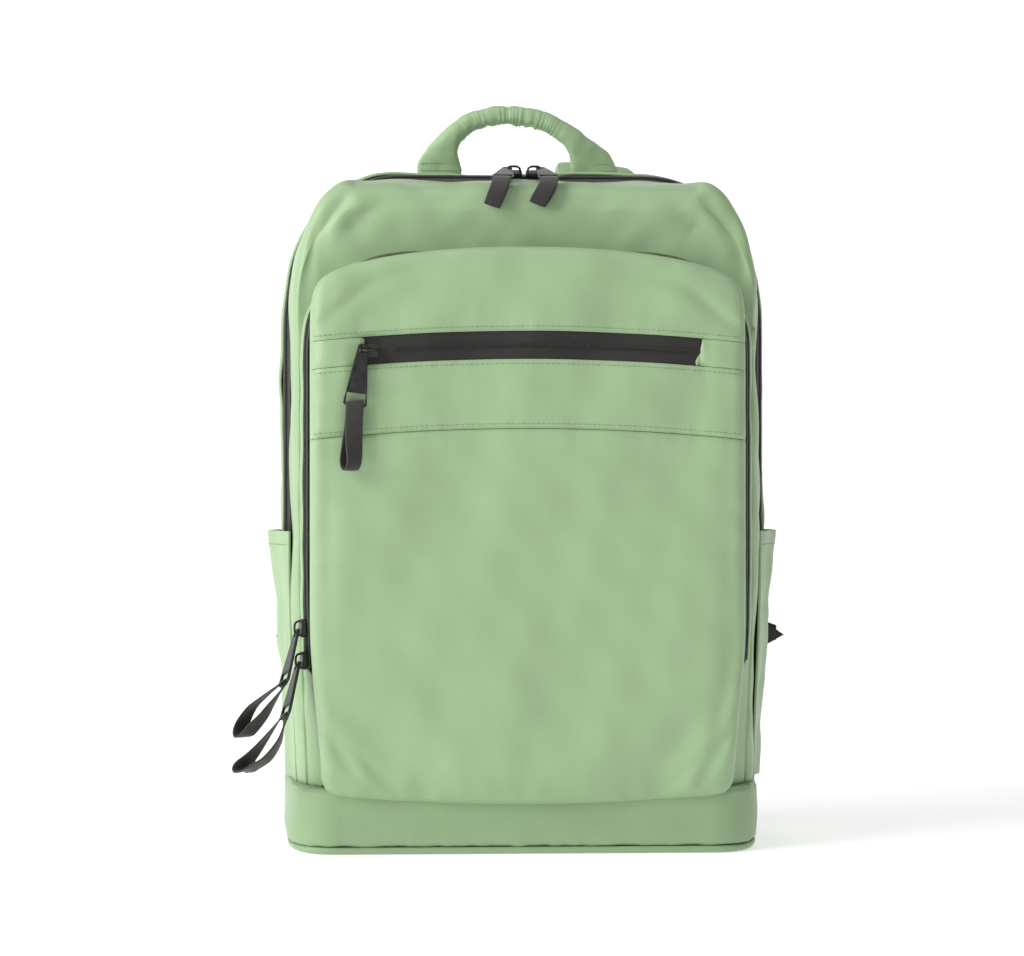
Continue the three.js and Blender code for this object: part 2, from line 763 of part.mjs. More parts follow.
// Harness: padded strap, buckle, webbing and the tab that holds it at the side
function shoulderStrap(side) {
  const restY = padFace + strapThickness / 2 + 2 * seamGap;
  const line = strapLine.map((row) => new THREE.Vector3(
    side * (strapSpacing / 2 + row.out * strapSplay),
    restY + row.back * strapBow,
    bodyHeight * row.up + row.hump * (side < 0 ? strapHumpLeft : strapHumpRight),
  ));
  const humps = [...strapLine.map((row) => row.hump), 0, 0];
  const humpAt = (share) => {
    const place = share * (humps.length - 1);
    const low = Math.min(Math.floor(place), humps.length - 2);
    return THREE.MathUtils.lerp(humps[low], humps[low + 1], place - low);
  };
  const footX = side * (strapSpacing / 2 + strapSplayAtFoot * strapSplay);
  line.push(new THREE.Vector3(footX, restY, strapEnd + strapFoot));
  line.push(new THREE.Vector3(side * (strapSpacing / 2 + strapSplay), restY, strapEnd));
  return sweptStrip(line, 26, (share, tangent) => ({
    face: new THREE.Vector3(Math.max(side, 0) * strapTilt * humpAt(share), -tangent.z, tangent.y),
    width: strapWidth,
    thickness: strapThickness,
    sides: 8,
    squareness: 6,
  })).subtract(clearOfBody);
}

// Buckle: a flat frame with a middle bar, turned in line with the end of the strap
function buckleFrame() {
  const [wide, long] = [buckleWidth / 2, buckleLength / 2];
  const corner = buckleThickness;
  const bar = buckleThickness * 0.8;
  const slotHalf = webbingWidth / 2 + 2 * seamGap;
  const outline = flat([
    [-wide + corner, -long], [wide - corner, -long], [wide, -long + corner],
    [wide, long], [-wide, long], [-wide, -long + corner],
  ]);
  const slots = [[bar / 2, long - bar], [-long + bar, -bar / 2]].map(([low, high]) => flat([
    [-slotHalf, low], [slotHalf, low], [slotHalf, high], [-slotHalf, high],
  ]));
  const geometry = plate(outline, slots, buckleThickness);
  geometry.translate(0, 0, -buckleThickness / 2);
  geometry.rotateX(Math.PI / 2);
  return geometryOf(solidOf(geometry));
}

// Webbing from the buckle round the back corner to the side tab
const webbingLine = [
  { across: 0.0, back: 1.0, up: 0.0 },
  { across: 0.12, back: 1.0, up: 0.12 },
  { across: 0.5, back: 0.96, up: 0.55 },
  { across: 0.78, back: 0.72, up: 0.86 },
  { across: 0.93, back: 0.3, up: 0.98 },
  { across: 1.0, back: 0.0, up: 1.0 },
];
for (const [name, side, reach] of [['left', -1, anchorReachLeft], ['right', 1, anchorReachRight]]) {
  bag.add(part(`shoulder_strap_${name}`, geometryOf(shoulderStrap(side)), 'green'));

  const restY = padFace + strapThickness / 2 + 2 * seamGap;
  const strapTip = new THREE.Vector3(side * (strapSpacing / 2 + strapSplay), restY, strapEnd);
  const down = new THREE.Vector3(side * Math.sin(strapFootTurn), 0, -Math.cos(strapFootTurn));
  const buckle = part(`strap_buckle_${name}`, buckleFrame(), 'plastic');
  buckle.position.copy(strapTip).addScaledVector(down, buckleLength / 2 + 2 * seamGap);
  buckle.rotation.y = -side * strapFootTurn;
  bag.add(buckle);

  const webbingTop = strapTip.clone().addScaledVector(down, buckleLength + 3 * seamGap);
  const start = webbingTop.clone().addScaledVector(down, webbingWidth * 0.4);
  const tabTip = new THREE.Vector3(
    side * (bodyWidth / 2 + reach - 3 * webbingThickness),
    anchorPlace + anchorThickness / 2 + webbingThickness / 2 + seamGap,
    anchorLevel,
  );
  const line = webbingLine.map((row) => new THREE.Vector3(
    THREE.MathUtils.lerp(start.x, tabTip.x, row.across),
    THREE.MathUtils.lerp(tabTip.y, start.y, row.back),
    THREE.MathUtils.lerp(start.z, tabTip.z, row.up),
  ));
  const webbing = sweptStrip([webbingTop, ...line], 18, (share, tangent) => ({
    face: new THREE.Vector3(-tangent.y, tangent.x, 0),
    width: THREE.MathUtils.lerp(webbingWidth, anchorHeight * 0.5, share ** 3),
    thickness: webbingThickness,
    sides: 4,
    squareness: 2,
  }));
  bag.add(part(`strap_webbing_${name}`, geometryOf(webbing), 'webbing'));

  const root = bodyWidth / 2 - wall * 4;
  const tip = bodyWidth / 2 + reach;
  const tab = frontPrism([
    [side * root, anchorLevel - anchorHeight * 0.6],
    [side * (root + reach * 0.55), anchorLevel - anchorHeight / 2],
    [side * tip, anchorLevel - anchorHeight * 0.05],
    [side * (root + reach * 0.5), anchorLevel + anchorHeight / 2],
    [side * root, anchorLevel + anchorHeight / 2],
  ]).intersect(block(
    [-far, anchorPlace - anchorThickness / 2, -far],
    [far, anchorPlace + anchorThickness / 2, far],
  )).subtract(clearOfBody);
  bag.add(part(`strap_anchor_${name}`, geometryOf(tab), 'webbing'));
}

// Arch of a bail: along is a share of its half span, rise of its rise above the slider.
const bailArch = [
  { along: -1, rise: -0.2 }, { along: -1, rise: 0.4 }, { along: -0.78, rise: 0.86 }, { along: 0, rise: 1 },
  { along: 0.78, rise: 0.86 }, { along: 1, rise: 0.4 }, { along: 1, rise: -0.2 },
];

// Zip slider with its bail, lying on the tape: the tape runs along x, the front is -y
function sliderSolid(turned) {
  const [long, wide] = [sliderLength / 2, sliderBreadth / 2];
  const waist = wide * 0.6;
  const body = plate(flat([
    [-long, -waist], [-long * 0.2, -wide], [long * 0.8, -wide], [long, -waist],
    [long, waist], [long * 0.8, wide], [-long * 0.2, wide], [-long, waist],
  ]), [], sliderThickness);
  body.rotateX(Math.PI / 2);
  const archAt = (row) => new THREE.Vector3(
    (row.along * bailSpan) / 2, -sliderThickness - row.rise * bailRise, 0,
  );
  const arch = new THREE.CatmullRomCurve3(bailArch.map(archAt));
  const wireSides = 6;
  const wire = new THREE.Shape(Array.from({ length: wireSides }, (unused, i) => {
    const angle = (2 * Math.PI * i) / wireSides;
    return new THREE.Vector2((bailWire / 2) * Math.cos(angle), (bailWire / 2) * Math.sin(angle));
  }));
  const bail = new THREE.ExtrudeGeometry(wire, { steps: 9, extrudePath: arch });
  const geometry = geometryOf(solidOf(body).add(solidOf(bail)));
  if (turned) geometry.rotateY(Math.PI / 2);
  return geometry;
}

// Pull tab hanging from a bail's leg at the origin, its flat side to the front
function tabSolid() {
  const top = tabTop;
  const bottom = top - tabLength;
  const [topHalf, bottomHalf] = [tabTopWidth / 2, tabBottomWidth / 2];
  const corner = tabCorner;
  const eyeSides = 10;
  const eye = Array.from({ length: eyeSides }, (unused, i) => {
    const angle = (2 * Math.PI * i) / eyeSides;
    return new THREE.Vector2((tabHole / 2) * Math.cos(angle), (tabHole / 2) * Math.sin(angle));
  });
  const slotLow = bottom + tabRim;
  const slotHalf = ribbonWidth / 2 + seamGap;
  const geometry = plate(flat([
    [-topHalf, top - corner], [-topHalf + corner, top], [topHalf - corner, top], [topHalf, top - corner],
    [bottomHalf, bottom + corner], [bottomHalf - corner, bottom],
    [-bottomHalf + corner, bottom], [-bottomHalf, bottom + corner],
  ]), [eye, flat([
    [-slotHalf, slotLow], [slotHalf, slotLow],
    [slotHalf, slotLow + tabSlotHeight], [-slotHalf, slotLow + tabSlotHeight],
  ])], tabThickness);
  geometry.translate(0, 0, -tabThickness / 2);
  geometry.rotateX(Math.PI / 2);
  return geometryOf(solidOf(geometry));
}

// Ribbon loop through the tab's slot, round the bar below it. Its middle line leaves the slot downwards;
// down and out are shares of the ribbon's length, out negative to the front.
function ribbonLoop(bend) {
  const slotLow = tabTop + tabRim - tabLength;
  const start = slotLow + ribbonThickness + 2 * seamGap;
  const middle = new THREE.CatmullRomCurve3(bend.map((row) => new THREE.Vector3(
    0, row.out * ribbonLength, start - row.down * ribbonLength,
  )));
  const open = tabThickness / 2 + 2 * seamGap;
  const rows = 8;
  const face = (side, outer) => Array.from({ length: rows + 1 }, (unused, i) => {
    const margin = outer ? 0 : ribbonThickness / ribbonLength;
    const share = THREE.MathUtils.lerp(margin, 1 - margin, i / rows);
    const point = middle.getPointAt(share);
    const tangent = middle.getTangentAt(share);
    const closing = 1 - 0.5 * Math.max(0, share - 0.6);
    const away = side * (open * closing + (outer ? ribbonThickness : 0));
    return new THREE.Vector2(point.y - tangent.z * away, point.z + tangent.y * away);
  });
  const outline = [...face(1, true), ...face(-1, true).reverse()];
  const hollow = [...face(1, false), ...face(-1, false).reverse()];
  const geometry = plate(outline, [hollow], ribbonWidth);
  geometry.translate(0, 0, -ribbonWidth / 2);
  geometry.applyMatrix4(new THREE.Matrix4().makeBasis(
    new THREE.Vector3(0, 1, 0), new THREE.Vector3(0, 0, 1), new THREE.Vector3(1, 0, 0),
  ));
  return geometryOf(solidOf(geometry));
}

// One zip puller: slider on the tape, tab on one leg of its bail, ribbon through the tab
function zipPuller(name, place) {
  const puller = new THREE.Group();
  puller.position.set(...place.position);
  puller.rotation.set(...place.rotation);
  puller.add(part(`slider_${name}`, sliderSolid(place.upright), 'metal'));
  const leg = place.upright ? [0, 0, -bailSpan / 2] : [(place.leg * bailSpan) / 2, 0, 0];
  const hanging = new THREE.Group();
  const standOff = sliderThickness + seamGap + tabThickness / 2 + tabTop * Math.sin(Math.abs(place.lean));
  hanging.position.set(leg[0], -standOff, leg[2]);
  hanging.rotation.set(place.lean, place.swing, 0);
  hanging.add(part(`pull_tab_${name}`, tabSolid(), 'metal'));
  hanging.add(part(`pull_loop_${name}`, ribbonLoop(place.bend), 'webbing'));
  puller.add(hanging);
  return puller;
}

const hangingBend = [
  { down: 0.0, out: 0.0 }, { down: 0.35, out: -0.02 }, { down: 0.7, out: -0.05 }, { down: 1.0, out: -0.07 },
];
const pocketSliderX = -pocketZipLeft + pocketSliderInset;
const pocketZipMiddle = seamHeight(pocketZipTop - pocketZipHeight / 2, pocketSliderX);
const pocketShare = (pocketZipMiddle - coverBottom) / (coverTop - coverBottom);
const pocketInset = 1 - Math.abs(pocketSliderX) / (coverWidth / 2);
const pocketFaceY = coverBack - coverDepth * readTable(coverProfile, 'height', 'depth', pocketShare)
  * readTable(coverRings, 'inset', 'depth', pocketInset);
bag.add(zipPuller('pocket', {
  position: [pocketSliderX, pocketFaceY - 2 * seamGap, pocketZipMiddle],
  rotation: [pocketLean, 0, 0],
  upright: false,
  leg: -1,
  lean: pocketTabLean,
  swing: pocketSwing,
  bend: hangingBend,
}));

const drapedBend = [
  { down: 0.0, out: 0.0 }, { down: 0.22, out: -0.03 }, { down: 0.42, out: -0.01 },
  { down: 0.56, out: 0.12 }, { down: 0.64, out: 0.34 },
];
const zipSlope = Math.atan2(
  bodyHeight * (bodySections[5].top - bodySections[4].top),
  bodyDepth * (bodySections[5].depth - bodySections[4].depth),
);
const zipShare = (mainZipMiddle - frontPanel) / bodyDepth;
const zipTop = bodyHeight * readTable(bodySections, 'depth', 'top', zipShare);
for (const [name, leg] of [['top_left', -1], ['top_right', 1]]) {
  bag.add(zipPuller(name, {
    position: [leg * (sliderLength / 2 + 4 * seamGap), mainZipMiddle, zipTop + seamGap],
    rotation: [zipSlope - Math.PI / 2, 0, 0],
    upright: false,
    leg,
    lean: topLean,
    swing: -leg * topSwing,
    bend: drapedBend,
  }));
}

const sideBend = [
  { down: 0.0, out: 0.0 }, { down: 0.22, out: -0.02 }, { down: 0.45, out: -0.14 },
  { down: 0.65, out: -0.32 }, { down: 0.82, out: -0.52 },
];
const sideBendLow = [
  { down: 0.0, out: 0.0 }, { down: 0.3, out: -0.02 }, { down: 0.6, out: -0.12 }, { down: 1.0, out: -0.3 },
];
const gussetSlope = Math.atan2(gussetTaper, gussetDepth);
for (const [name, level, lean, bend] of [
  ['side_upper', sideSliderUpper, sideLean, sideBend],
  ['side_lower', sideSliderLower, sideLean, sideBendLow],
]) {
  const height = compartmentZipEndLeft + level;
  const tapeY = coverBack + compartmentZipWidth / 2;
  const tapeShare = (frontPanel - seamGap - tapeY) / gussetDepth;
  const tapeX = (gussetWidth / 2 - gussetTaper * tapeShare) * (1 - bodyTuck(height));
  bag.add(zipPuller(name, {
    position: [-tapeX - seamGap, tapeY, height],
    rotation: [0, 0, gussetSlope - Math.PI / 2],
    upright: true,
    leg: 0,
    lean,
    swing: sideSwing,
    bend,
  }));
}

export default bag;
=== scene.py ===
import math

import bpy
import numpy as np
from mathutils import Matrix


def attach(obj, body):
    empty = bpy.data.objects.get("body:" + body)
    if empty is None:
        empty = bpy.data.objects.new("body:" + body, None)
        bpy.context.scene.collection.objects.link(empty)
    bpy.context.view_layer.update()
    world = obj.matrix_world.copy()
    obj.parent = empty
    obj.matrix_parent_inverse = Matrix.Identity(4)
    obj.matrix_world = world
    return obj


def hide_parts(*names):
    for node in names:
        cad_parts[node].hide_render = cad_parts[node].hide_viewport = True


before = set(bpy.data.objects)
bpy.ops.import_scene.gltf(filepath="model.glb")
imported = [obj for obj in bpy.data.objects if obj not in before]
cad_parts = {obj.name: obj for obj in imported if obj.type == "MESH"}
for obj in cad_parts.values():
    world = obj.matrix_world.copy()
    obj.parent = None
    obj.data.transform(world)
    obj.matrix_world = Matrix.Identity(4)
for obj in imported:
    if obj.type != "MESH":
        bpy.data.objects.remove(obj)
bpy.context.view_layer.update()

# The room: a pale seamless paper that runs up behind the bag, even daylight from all sides and one
# large soft lamp at the left. The lens is 85 mm, level, at about half the height of the bag.
MM = 0.001


def node(tree, kind, inputs=None, **settings):
    """New node, its inputs linked or set and its settings made."""
    made = tree.nodes.new(kind)
    for key, value in settings.items():
        setattr(made, key, value)
    for key, value in (inputs or {}).items():
        if isinstance(value, bpy.types.NodeSocket):
            tree.links.new(value, made.inputs[key])
        else:
            made.inputs[key].default_value = value
    return made


def maths(tree, kind, *values, **settings):
    return node(tree, "ShaderNodeMath", dict(enumerate(values)), operation=kind, **settings).outputs[0]


def noise(tree, place, scale, detail=2.0):
    made = node(tree, "ShaderNodeTexNoise", {"Vector": place, "Scale": scale, "Detail": detail})
    return made.outputs["Fac"]


def remap(tree, value, low, high, to_low, to_high):
    made = node(tree, "ShaderNodeMapRange", {"Value": value, 1: low, 2: high, 3: to_low, 4: to_high})
    return made.outputs[0]


def relief_of(tree, height, strength, distance, under=None):
    given = {"Height": height, "Strength": strength, "Distance": distance}
    if under:
        given["Normal"] = under
    return node(tree, "ShaderNodeBump", given).outputs["Normal"]


def blend(tree, amount, first, second):
    made = node(tree, "ShaderNodeMix", {0: amount, 6: (*first, 1), 7: (*second, 1)}, data_type="RGBA")
    return made.outputs[2]


def new_finish(name, colour, roughness, others=None):
    """Material with plain values on its shader, its nodes and the shader."""
    material = bpy.data.materials.new(name)
    material.use_nodes = True
    tree = material.node_tree
    shader = tree.nodes["Principled BSDF"]
    for key, value in {"Base Color": (*colour, 1), "Roughness": roughness, **(others or {})}.items():
        shader.inputs[key].default_value = value
    return material, tree, shader


def mesh_object(name, points, faces, material):
    """Object of points in millimetres."""
    mesh = bpy.data.meshes.new(name)
    mesh.from_pydata((np.asarray(points, float) * MM).tolist(), [], [list(map(int, f)) for f in faces])
    mesh.materials.append(material)
    mesh.polygons.foreach_set("use_smooth", [True] * len(mesh.polygons))
    made = bpy.data.objects.new(name, mesh)
    bpy.context.scene.collection.objects.link(made)
    return made


paper = new_finish(
    "seamless paper", (0.9, 0.9, 0.9), 0.9, {"Emission Color": (1, 1, 1, 1), "Emission Strength": 0.42},
)[0]
paper_reach, paper_bend, paper_height = 2600, 900, 3600
bend = np.linspace(0, math.pi / 2, 24)
paper_line = [(-4200, 0)]
paper_line += [(paper_reach + paper_bend * math.sin(a), paper_bend * (1 - math.cos(a))) for a in bend]
paper_line.append((paper_reach + paper_bend, paper_height))
paper_points = [(x, y, z) for x in (-4500, 4500) for y, z in paper_line]
paper_count = len(paper_line)
paper_faces = [(i, i + paper_count, i + paper_count + 1, i + 1) for i in range(paper_count - 1)]
backdrop = mesh_object("backdrop", paper_points, paper_faces, paper)

world = bpy.data.worlds.new("daylight")
bpy.context.scene.world = world
world.use_nodes = True
world.node_tree.nodes["Background"].inputs["Color"].default_value = (1, 1, 1, 1)
world.node_tree.nodes["Background"].inputs["Strength"].default_value = 0.26


def lamp(name, place, target, size, power):
    data = bpy.data.lights.new(name, "AREA")
    data.size = size
    data.energy = power
    made = bpy.data.objects.new(name, data)
    made.location = place
    aim = np.array(target) - np.array(place)
    made.rotation_euler = (
        math.atan2(math.hypot(aim[0], aim[1]), -aim[2]), 0, math.atan2(-aim[0], aim[1]),
    )
    bpy.context.scene.collection.objects.link(made)


lamp("key lamp", (-2.4, -1.1, 1.5), (0, 0, 0.2), 2.0, 88)
lamp("top lamp", (0.5, -0.6, 2.4), (0, 0, 0.2), 1.8, 12)

camera_turn = math.radians(-2.2)
camera_distance, camera_aside, eye_level = 1.54, -0.0078, 0.2304
camera = bpy.data.objects.new("camera", bpy.data.cameras.new("camera"))
camera.data.lens = 85
camera.data.sensor_width = 36
camera.data.clip_end = 30
camera.location = (
    camera_aside + camera_distance * math.sin(camera_turn),
    -camera_distance * math.cos(camera_turn), eye_level,
)
camera.rotation_euler = (math.radians(90), 0, camera_turn)
bpy.context.scene.collection.objects.link(camera)
bpy.context.scene.camera = camera
bpy.context.scene.view_settings.view_transform = "Standard"


# Base: a flat floor panel of coated green cloth, its edge turned up to the lowest seam, and a plain band
# sewn to it round the foot of the bag.
def woven(name, colour, dark, pitch, relief, roughness, sheen, cloud=0.04, floor_shade=0.0):
    """Cloth: a plain weave of a thread pitch in metres on the cloth's own UV, fine grain, soft patches of
    a darker tone, and painted shade that darkens it near the floor."""
    material, tree, shader = new_finish(
        name, colour, roughness,
        {"Sheen Weight": sheen, "Sheen Roughness": 0.45, "Specular IOR Level": 0.35},
    )
    across = node(tree, "ShaderNodeUVMap", uv_map="cloth")
    parts = node(tree, "ShaderNodeSeparateXYZ", {"Vector": across.outputs["UV"]})
    waves = []
    for axis in ("X", "Y"):
        turns = maths(tree, "MULTIPLY", parts.outputs[axis], math.pi / pitch)
        waves.append(maths(tree, "SINE", turns))
    weave = maths(tree, "MULTIPLY", *waves)
    place = node(tree, "ShaderNodeTexCoord").outputs["Object"]
    grain = noise(tree, place, 1400.0, 3.0)
    patch = noise(tree, place, 16.0, 4.0)
    crumple = noise(tree, place, 60.0, 3.0)
    height = maths(tree, "MULTIPLY_ADD", weave, 0.5, grain)
    fine = relief_of(tree, height, 0.6, relief)
    soft = relief_of(tree, crumple, 0.3, 0.001, fine)
    tree.links.new(soft, shader.inputs["Normal"])
    level = node(tree, "ShaderNodeSeparateXYZ", {"Vector": place})
    # Painted shade: the cloth is darker towards the floor, most below 20 mm, none above 55 mm.
    low = remap(tree, level.outputs["Z"], 0.02, 0.055, floor_shade, 0.0)
    spots = remap(tree, patch, 0.35, 0.75, 0.0, cloud)
    threads = remap(tree, height, 0.0, 1.0, cloud, 0.0)
    total = maths(tree, "ADD", maths(tree, "ADD", low, spots), threads, use_clamp=True)
    tree.links.new(blend(tree, total, colour, dark), shader.inputs["Base Color"])
    shine = remap(tree, patch, 0.3, 0.7, roughness - 0.05, roughness + 0.06)
    tree.links.new(shine, shader.inputs["Roughness"])
    return material


# The green cloth carries painted shade near the floor.
green = woven(
    "coated green cloth", (0.325, 0.468, 0.262), (0.2, 0.3, 0.16),
    pitch=0.0007, relief=0.00006, roughness=0.44, sheen=0.12, cloud=0.07, floor_shade=0.42,
)


def read(xs, ys, x):
    """Value at x of a curve through a table, smooth between its rows."""
    xs, ys = np.array(xs, float), np.array(ys, float)
    slope = np.gradient(ys, xs)
    x = np.clip(x, xs[0], xs[-1])
    i = np.clip(np.searchsorted(xs, x) - 1, 0, len(xs) - 2)
    wide = xs[i + 1] - xs[i]
    t = (x - xs[i]) / wide
    near = (1 + 2 * t) * (1 - t) ** 2 * ys[i] + t * (1 - t) ** 2 * wide * slope[i]
    return near + t ** 2 * (3 - 2 * t) * ys[i + 1] + t ** 2 * (t - 1) * wide * slope[i + 1]


def ripples(points, size, seed, count=9):
    """Soft random waves about one unit high, of a size in millimetres."""
    chance = np.random.default_rng(seed)
    waves = chance.normal(size=(count, 3)) * (3.7 / size)
    shift = chance.uniform(0, 2 * math.pi, count)
    return np.sin(np.asarray(points) @ waves.T + shift).sum(axis=-1) / math.sqrt(count)


def grid_normals(grid, ring=False):
    if ring:
        around = np.roll(grid, -1, axis=1) - np.roll(grid, 1, axis=1)
    else:
        around = np.gradient(grid, axis=1)
    normals = np.cross(np.gradient(grid, axis=0), around)
    return normals / np.maximum(np.linalg.norm(normals, axis=-1, keepdims=True), 1e-9)


def outward_normals(grid, away_from, ring=False):
    normals = grid_normals(grid, ring)
    if ((grid - np.array(away_from, float)) * normals).sum() < 0:
        normals = -normals
    return normals


def lattice(grid, ring):
    """Four-sided faces of a grid of points, and the metres along the cloth at their corners."""
    rows, columns = grid.shape[:2]
    index = np.arange(rows * columns).reshape(rows, columns)
    down = np.linalg.norm(np.diff(grid, axis=0), axis=-1).mean(axis=1)
    closed = np.concatenate([grid, grid[:, :1]], axis=1) if ring else grid
    along = np.linalg.norm(np.diff(closed, axis=1), axis=-1).mean(axis=0)
    v = np.concatenate([[0], np.cumsum(down)]) * MM
    u = np.concatenate([[0], np.cumsum(along)]) * MM
    faces, corners = [], []
    for r in range(rows - 1):
        for c in range(columns if ring else columns - 1):
            n = (c + 1) % columns
            faces.append((index[r, c], index[r, n], index[r + 1, n], index[r + 1, c]))
            corners.append(((u[c], v[r]), (u[c + 1], v[r]), (u[c + 1], v[r + 1]), (u[c], v[r + 1])))
    return faces, corners


def cloth_mesh(name, points, faces, corners, material, turned):
    """Object with the cloth's UV map, its faces turned over where the first ones face inward."""
    if turned:
        faces = [f[::-1] for f in faces]
        corners = [f[::-1] for f in corners]
    made = mesh_object(name, points, faces, material)
    uv = made.data.uv_layers.new(name="cloth")
    uv.data.foreach_set("uv", np.array([pair for face in corners for pair in face]).reshape(-1))
    return made


def cloth_piece(name, grid, material, away_from, thickness, levels=1, ring=False):
    """Cloth of a thickness through a grid of points, its face turned away from a point. The UV map holds
    metres along the cloth."""
    faces, corners = lattice(grid, ring)
    points = grid.reshape(-1, 3)
    a, b, c = (points[[f[k] for f in faces]] for k in (0, 1, 3))
    facing = ((a - np.array(away_from, float)) * np.cross(b - a, c - a)).sum()
    made = cloth_mesh(name, points, faces, corners, material, facing < 0)
    if levels:
        smooth = made.modifiers.new("smooth", "SUBSURF")
        smooth.levels = smooth.render_levels = levels
    thick = made.modifiers.new("thickness", "SOLIDIFY")
    thick.thickness = thickness * MM
    thick.offset = -1
    return settle(made)


def settle(piece):
    """The piece with its modifiers made part of its mesh."""
    graph = bpy.context.evaluated_depsgraph_get()
    mesh = bpy.data.meshes.new_from_object(piece.evaluated_get(graph))
    piece.modifiers.clear()
    piece.data = mesh
    return piece


def fit(piece, slot, *nodes):
    """Puts a piece on the bag, in place of the CAD pieces named. The slot is not used."""
    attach(piece, "root")
    if nodes:
        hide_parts(*nodes)


def bezier(points, count):
    """Points of a curve of the second or third order."""
    points = np.array(points, float)
    t = np.linspace(0, 1, count)[:, None]
    while len(points.shape) == 2:
        points = np.repeat(points[:, None], count, axis=1)
    while len(points) > 1:
        points = points[:-1] * (1 - t) + points[1:] * t
    return points[0]


base_half, base_deep, base_round, base_front_draw = 150, 62, 30, 4
left_ease = 1.03


def base_plan(inset):
    """Outline of the base from above, drawn in by an inset in mm."""
    half, deep, corner = base_half - inset, base_deep - inset, base_round - inset
    front = half - base_front_draw
    right = np.concatenate([
        np.stack([np.linspace(0, front - corner, 34), np.full(34, -deep)], axis=1),
        bezier([
            (front - corner, -deep), (front - corner * 0.1, -deep + corner * 0.1),
            (front, -deep + corner * 1.4),
        ], 26)[1:],
        np.linspace((front, -deep + corner * 1.4), (half, deep - corner), 20)[1:],
        bezier([(half, deep - corner), (half, deep), (half - corner, deep)], 26)[1:],
        np.stack([np.linspace(half - corner, 0, 34), np.full(34, deep)], axis=1)[1:],
    ])
    return np.concatenate([right, right[1:-1][::-1] * (-left_ease, 1)])


def base_ring(inset, z, scale=1.0):
    plan = base_plan(inset) * scale
    return np.column_stack([plan, np.full(len(plan), float(z))])


floor_rings = [base_ring(6, 0.35, s) for s in (0.03, 0.3, 0.6, 0.85, 0.95)]
floor_rings += [base_ring(6.5, 0.1), base_ring(4.4, 0.2), base_ring(2.6, 0.9), base_ring(1.5, 2.2)]
floor_rings += [base_ring(1.2, 3.6), base_ring(1.8, 4.4), base_ring(3.4, 4.7)]
floor_grid = np.array(floor_rings)
base_floor = cloth_piece("base_floor_panel", floor_grid, green, (0, 0, 60), 2, levels=0, ring=True)
fit(base_floor, "shell_fabric", "base_floor")

def bell(x, middle, breadth):
    """One at the middle, falling softly to nothing on both sides."""
    return np.exp(-(((x - middle) / breadth) ** 2))


band_low, band_high = 5.0, 40.0
band_heights = [5.0, 5.4, 6.2, 7.6, 10, 14, 19, 24, 29, 33, 36, 38, 39.2, 39.8, 40.0]
band_rings = []
for z in band_heights:
    edge = min(z - band_low, band_high - z)
    roll = 1.9 * bell(edge, 0, 1.1)
    band_rings.append(base_ring(roll + 1.0 * ((z - 24) / 19) ** 2, z))
band_grid = np.array(band_rings)
band_out = outward_normals(band_grid, (0, 0, 20), ring=True)
near_seam = np.exp(-np.minimum(band_grid[..., 2] - band_low, band_high - band_grid[..., 2]) / 7)
pucker = 0.45 * near_seam * ripples(band_grid * (1, 1, 0.25), 11, 5)
pucker += 0.5 * ripples(band_grid, 42, 6) * (1 - near_seam)
band_grid += band_out * pucker[..., None]
ledge = [base_ring(2.6, 40.1), base_ring(5, 40.15), base_ring(10, 40.2), base_ring(16, 40.2)]
band_grid = np.concatenate([band_grid, ledge])
base_band = cloth_piece("base_band_cloth", band_grid, green, (0, 0, 20), 2, levels=0, ring=True)
fit(base_band, "shell_fabric", "base_band")


# Main compartment: two halves of the same coated cloth, cut as boxes with pinched corners and soft from
# wear. Their edges turn in to the arch zip; below it they are sewn to each other and to the base band.
body_half, body_height, body_depth, body_back, shoulder = 155, 426, 98, 62, 75
body_front = body_back - body_depth
body_foot = 40.3
sections = {
    "depth": [0, 0.031, 0.112, 0.245, 0.367, 0.49, 0.61, 0.827, 0.949, 1],
    "width": [0.915, 0.928, 0.942, 0.955, 0.968, 1, 1, 0.984, 0.955, 0.91],
    "top": [0.934, 0.955, 0.972, 0.981, 0.987, 1, 1, 0.99, 0.972, 0.946],
    "drop": [0.73, 0.83, 0.92, 0.96, 1.2, 1.45, 1.45, 1.42, 1.35, 1.25],
    "run": [0.56, 0.53, 0.51, 0.73, 0.96, 1, 1, 1, 0.95, 0.9],
    "lift": [0.5, 0.5, 0.5, 0.52, 0.62, 0.68, 0.68, 0.68, 0.68, 0.68],
    "reach": [0.53, 0.5, 0.47, 0.54, 0.55, 0.55, 0.55, 0.55, 0.55, 0.55],
    "pinch": [0.08, 0.12, 0.16, 0.06, 0, 0, 0, 0, 0, 0],
}


def smoothstep(x, low, high):
    t = np.clip((x - low) / (high - low), 0, 1)
    return t * t * (3 - 2 * t)


def tuck(z):
    return (5 / body_half) * (1 - smoothstep(z, 20, body_height * 0.42))


def arch(half, foot, top, drop, run, lift, reach, pinch=0.0, counts=(64, 30, 20)):
    """From the left foot over the crown to the right foot, as points of x and z."""
    side = np.linspace(foot, top - drop, counts[0])
    right = np.concatenate([
        np.stack([np.full(counts[0], half), side], axis=1),
        bezier([
            (half, top - drop), (half, top - drop * (1 - lift)),
            (half - run * (1 - reach), top + pinch), (half - run, top),
        ], counts[1])[1:],
        np.stack([np.linspace(half - run, 0, counts[2]), np.full(counts[2], top)], axis=1)[1:],
    ])
    right[:, 0] *= 1 - tuck(right[:, 1])
    return np.concatenate([right * (-1, 1), right[:-1][::-1]])


def body_arch(depth, grow=0.0):
    """Section of the shell at a share of its depth from the front, from foot over the top to foot."""
    at = {key: float(read(sections["depth"], sections[key], depth)) for key in sections}
    line = arch(
        body_half * at["width"] + grow, body_foot, body_height * at["top"] + grow,
        shoulder * at["drop"], shoulder * at["run"], at["lift"], at["reach"], shoulder * at["pinch"],
    )
    y = body_front - grow + depth * (body_depth + 2 * grow)
    return np.column_stack([line[:, 0], np.full(len(line), y), line[:, 1]])


